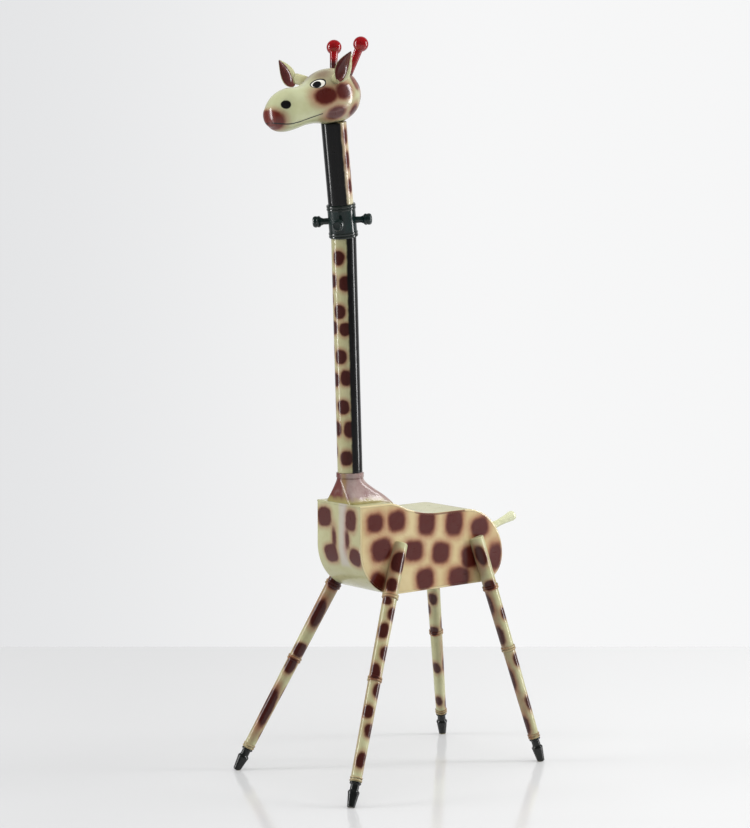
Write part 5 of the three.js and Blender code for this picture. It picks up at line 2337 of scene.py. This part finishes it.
@dataclass
class Studio:
    """The pale floor, the soft light and the camera."""

    shop: Workshop
    camera_place: tuple[float, float, float] = (3487.93, -2856.80, 1169.59)
    right: tuple[float, float, float] = (0.63354, 0.77371, 0.0)
    up: tuple[float, float, float] = (-0.07776, 0.06367, 0.99494)
    lens: float = 110.98
    # The surround's colour changes from left to right, and its strength from behind to ahead.
    backdrop_dim: Colour = (0.77, 0.775, 0.785)
    backdrop: Colour = (0.925, 0.927, 0.93)
    backdrop_from: float = -0.2
    backdrop_to: float = 0.06
    surround_strength: float = 0.16
    backdrop_strength: float = 0.72
    ahead_from: float = 0.35
    ahead_to: float = 0.9
    # The floor: how far it runs ahead, behind and to each side, and its painted shade, darker at the left and
    # lighter at the right.
    floor_near: float = -9.0
    floor_far: float = 1.2
    floor_wide: float = 9.0
    floor_shaded: Colour = (0.4, 0.402, 0.406)
    floor_lit: Colour = (0.48, 0.482, 0.484)
    floor_scuff: Colour = (0.3, 0.3, 0.3)
    floor_glow: float = 0.2
    boxes: tuple[Softbox, ...] = (
        Softbox("softbox_left", (-2.1, -2.95, 1.7), (0.6, 3.2), 95.0, (0.0, 0.0, 1.0)),
        Softbox("softbox_right", (2.2, 2.9, 1.7), (0.6, 3.2), 105.0, (0.0, 0.0, 1.0)),
        Softbox("softbox_top", (0.5, 0.5, 4.5), (7.0, 7.0), 310.0, mirrored=False),
        Softbox("softbox_front", (3.2, -2.2, 3.0), (2.4, 2.4), 24.0, mirrored=False),
    )

    def build(self) -> None:
        """Sets up the studio."""
        self.build_floor()
        self.build_surround()
        self.build_lamps()
        self.build_camera()

    def build_floor(self) -> None:
        """Lays a wide pale floor with a soft sheen and painted shade towards its left."""
        data = bpy.data.meshes.new("studio_floor")
        back = Vector(self.right).cross(Vector(self.up))
        ahead = Vector((-back.x, -back.y, 0)).normalized()
        side = Vector((ahead.y, -ahead.x, 0)) * self.floor_wide
        near, far = ahead * self.floor_near, ahead * self.floor_far
        corners_of_floor = [near - side, near + side, far + side, far - side]
        data.from_pydata([tuple(corner) for corner in corners_of_floor], [], [(0, 1, 2, 3)])
        floor = add_object("studio_floor", data)
        if data.polygons[0].normal.z < 0:
            data.flip_normals()
        material, maker, place = new_material("studio_white")
        scuffs = maker.noise(place, 3.0, 4.0)
        # Painted shade: the floor's colour darkens towards the left.
        across = maker.add("ShaderNodeVectorMath", {0: place, 1: self.right}, operation="DOT_PRODUCT")
        spread = {"Value": across.outputs["Value"], "From Min": -0.6, "From Max": 0.5}
        fall = maker.add("ShaderNodeMapRange", spread)
        tone = maker.mix(fall.outputs[0], self.floor_shaded, self.floor_lit)
        tone = maker.mix(maker.maths("MULTIPLY", scuffs, 0.06), tone, self.floor_scuff)
        rough = maker.add("ShaderNodeMapRange", {"Value": scuffs, "To Min": 0.08, "To Max": 0.14})
        surface = {
            "Base Color": tone, "Roughness": rough.outputs[0], "Emission Color": (1.0, 1.0, 1.0),
            "Emission Strength": self.floor_glow,
        }
        show_shader(maker, maker.add("ShaderNodeBsdfPrincipled", surface))
        data.materials.append(material)

    def build_surround(self) -> None:
        """Sets up the pale surround, which is seen brighter than it shines."""
        world = bpy.data.worlds.new("studio_surround")
        bpy.context.scene.world = world
        world.use_nodes = True
        world.node_tree.nodes.clear()
        maker = Tree(world.node_tree)
        towards = maker.add("ShaderNodeTexCoord").outputs["Generated"]

        def ramp(direction: Sequence[float], span: dict[str, float]) -> bpy.types.NodeSocket:
            """Makes a smooth change over how far a view turns towards a direction.

            Args:
                direction: The direction.
                span: Where the change starts and ends, and what it goes between.

            Returns:
                The changing number.
            """
            pair = {0: towards, 1: tuple(direction)}
            turn = maker.add("ShaderNodeVectorMath", pair, operation="DOT_PRODUCT")
            given = {"Value": turn.outputs["Value"], **span}
            return maker.add("ShaderNodeMapRange", given, interpolation_type="SMOOTHSTEP").outputs[0]

        sideways = {"From Min": self.backdrop_from, "From Max": self.backdrop_to}
        seen = maker.mix(ramp(self.right, sideways), self.backdrop_dim, self.backdrop)
        onwards = {
            "From Min": self.ahead_from, "From Max": self.ahead_to, "To Min": self.surround_strength,
            "To Max": self.backdrop_strength,
        }
        strength = ramp(Vector(self.up).cross(Vector(self.right)), onwards)
        shown = maker.add("ShaderNodeBackground", {"Color": seen, "Strength": 1.0})
        fill = maker.add("ShaderNodeBackground", {"Color": seen, "Strength": strength})
        rays = maker.add("ShaderNodeLightPath")
        both = {0: rays.outputs["Is Camera Ray"], 1: fill.outputs[0], 2: shown.outputs[0]}
        end = maker.add("ShaderNodeOutputWorld")
        maker.feed(end, "Surface", maker.add("ShaderNodeMixShader", both).outputs[0])

    def build_lamps(self) -> None:
        """Hangs the softboxes."""
        for box in self.boxes:
            light = bpy.data.lights.new(box.name, "AREA")
            light.shape = "RECTANGLE"
            light.size, light.size_y = box.size
            light.energy = box.power
            lamp = add_object(box.name, light)
            lamp.location = box.place
            lamp.visible_glossy = box.mirrored
            aim = Vector(box.aim) - Vector(box.place)
            lamp.rotation_euler = aim.to_track_quat("-Z", "Y").to_euler()

    def build_camera(self) -> None:
        """Sets up the camera, level with the collar and ahead of the giraffe's left shoulder."""
        data = bpy.data.cameras.new("view")
        data.sensor_width = 36.0
        data.sensor_fit = "HORIZONTAL"
        data.lens = self.lens
        data.clip_end = 60.0
        camera = add_object("view", data)
        right, up = Vector(self.right).normalized(), Vector(self.up).normalized()
        turn = Matrix((right, up, right.cross(up))).transposed().to_4x4()
        place = (Vector(self.camera_place) + self.shop.shift) * MM
        camera.matrix_world = Matrix.Translation(place) @ turn
        bpy.context.scene.camera = camera
        bpy.context.scene.view_settings.view_transform = "Standard"


def main() -> None:
    """Builds the giraffe in order, from the floor up."""
    logging.basicConfig(level=logging.INFO, format="%(name)s: %(message)s")
    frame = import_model()
    shop = Workshop(frame, body_front=-92.5)
    beads = BeadRings()
    body = Body(shop)
    body.build()
    Legs(shop, beads).build()
    neck = Neck(shop, beads, body.outline)
    neck.build()
    Head(shop, neck).build()
    Tail(shop, body.outline).build()
    Studio(shop).build()


if __name__ == "__main__":
    main()
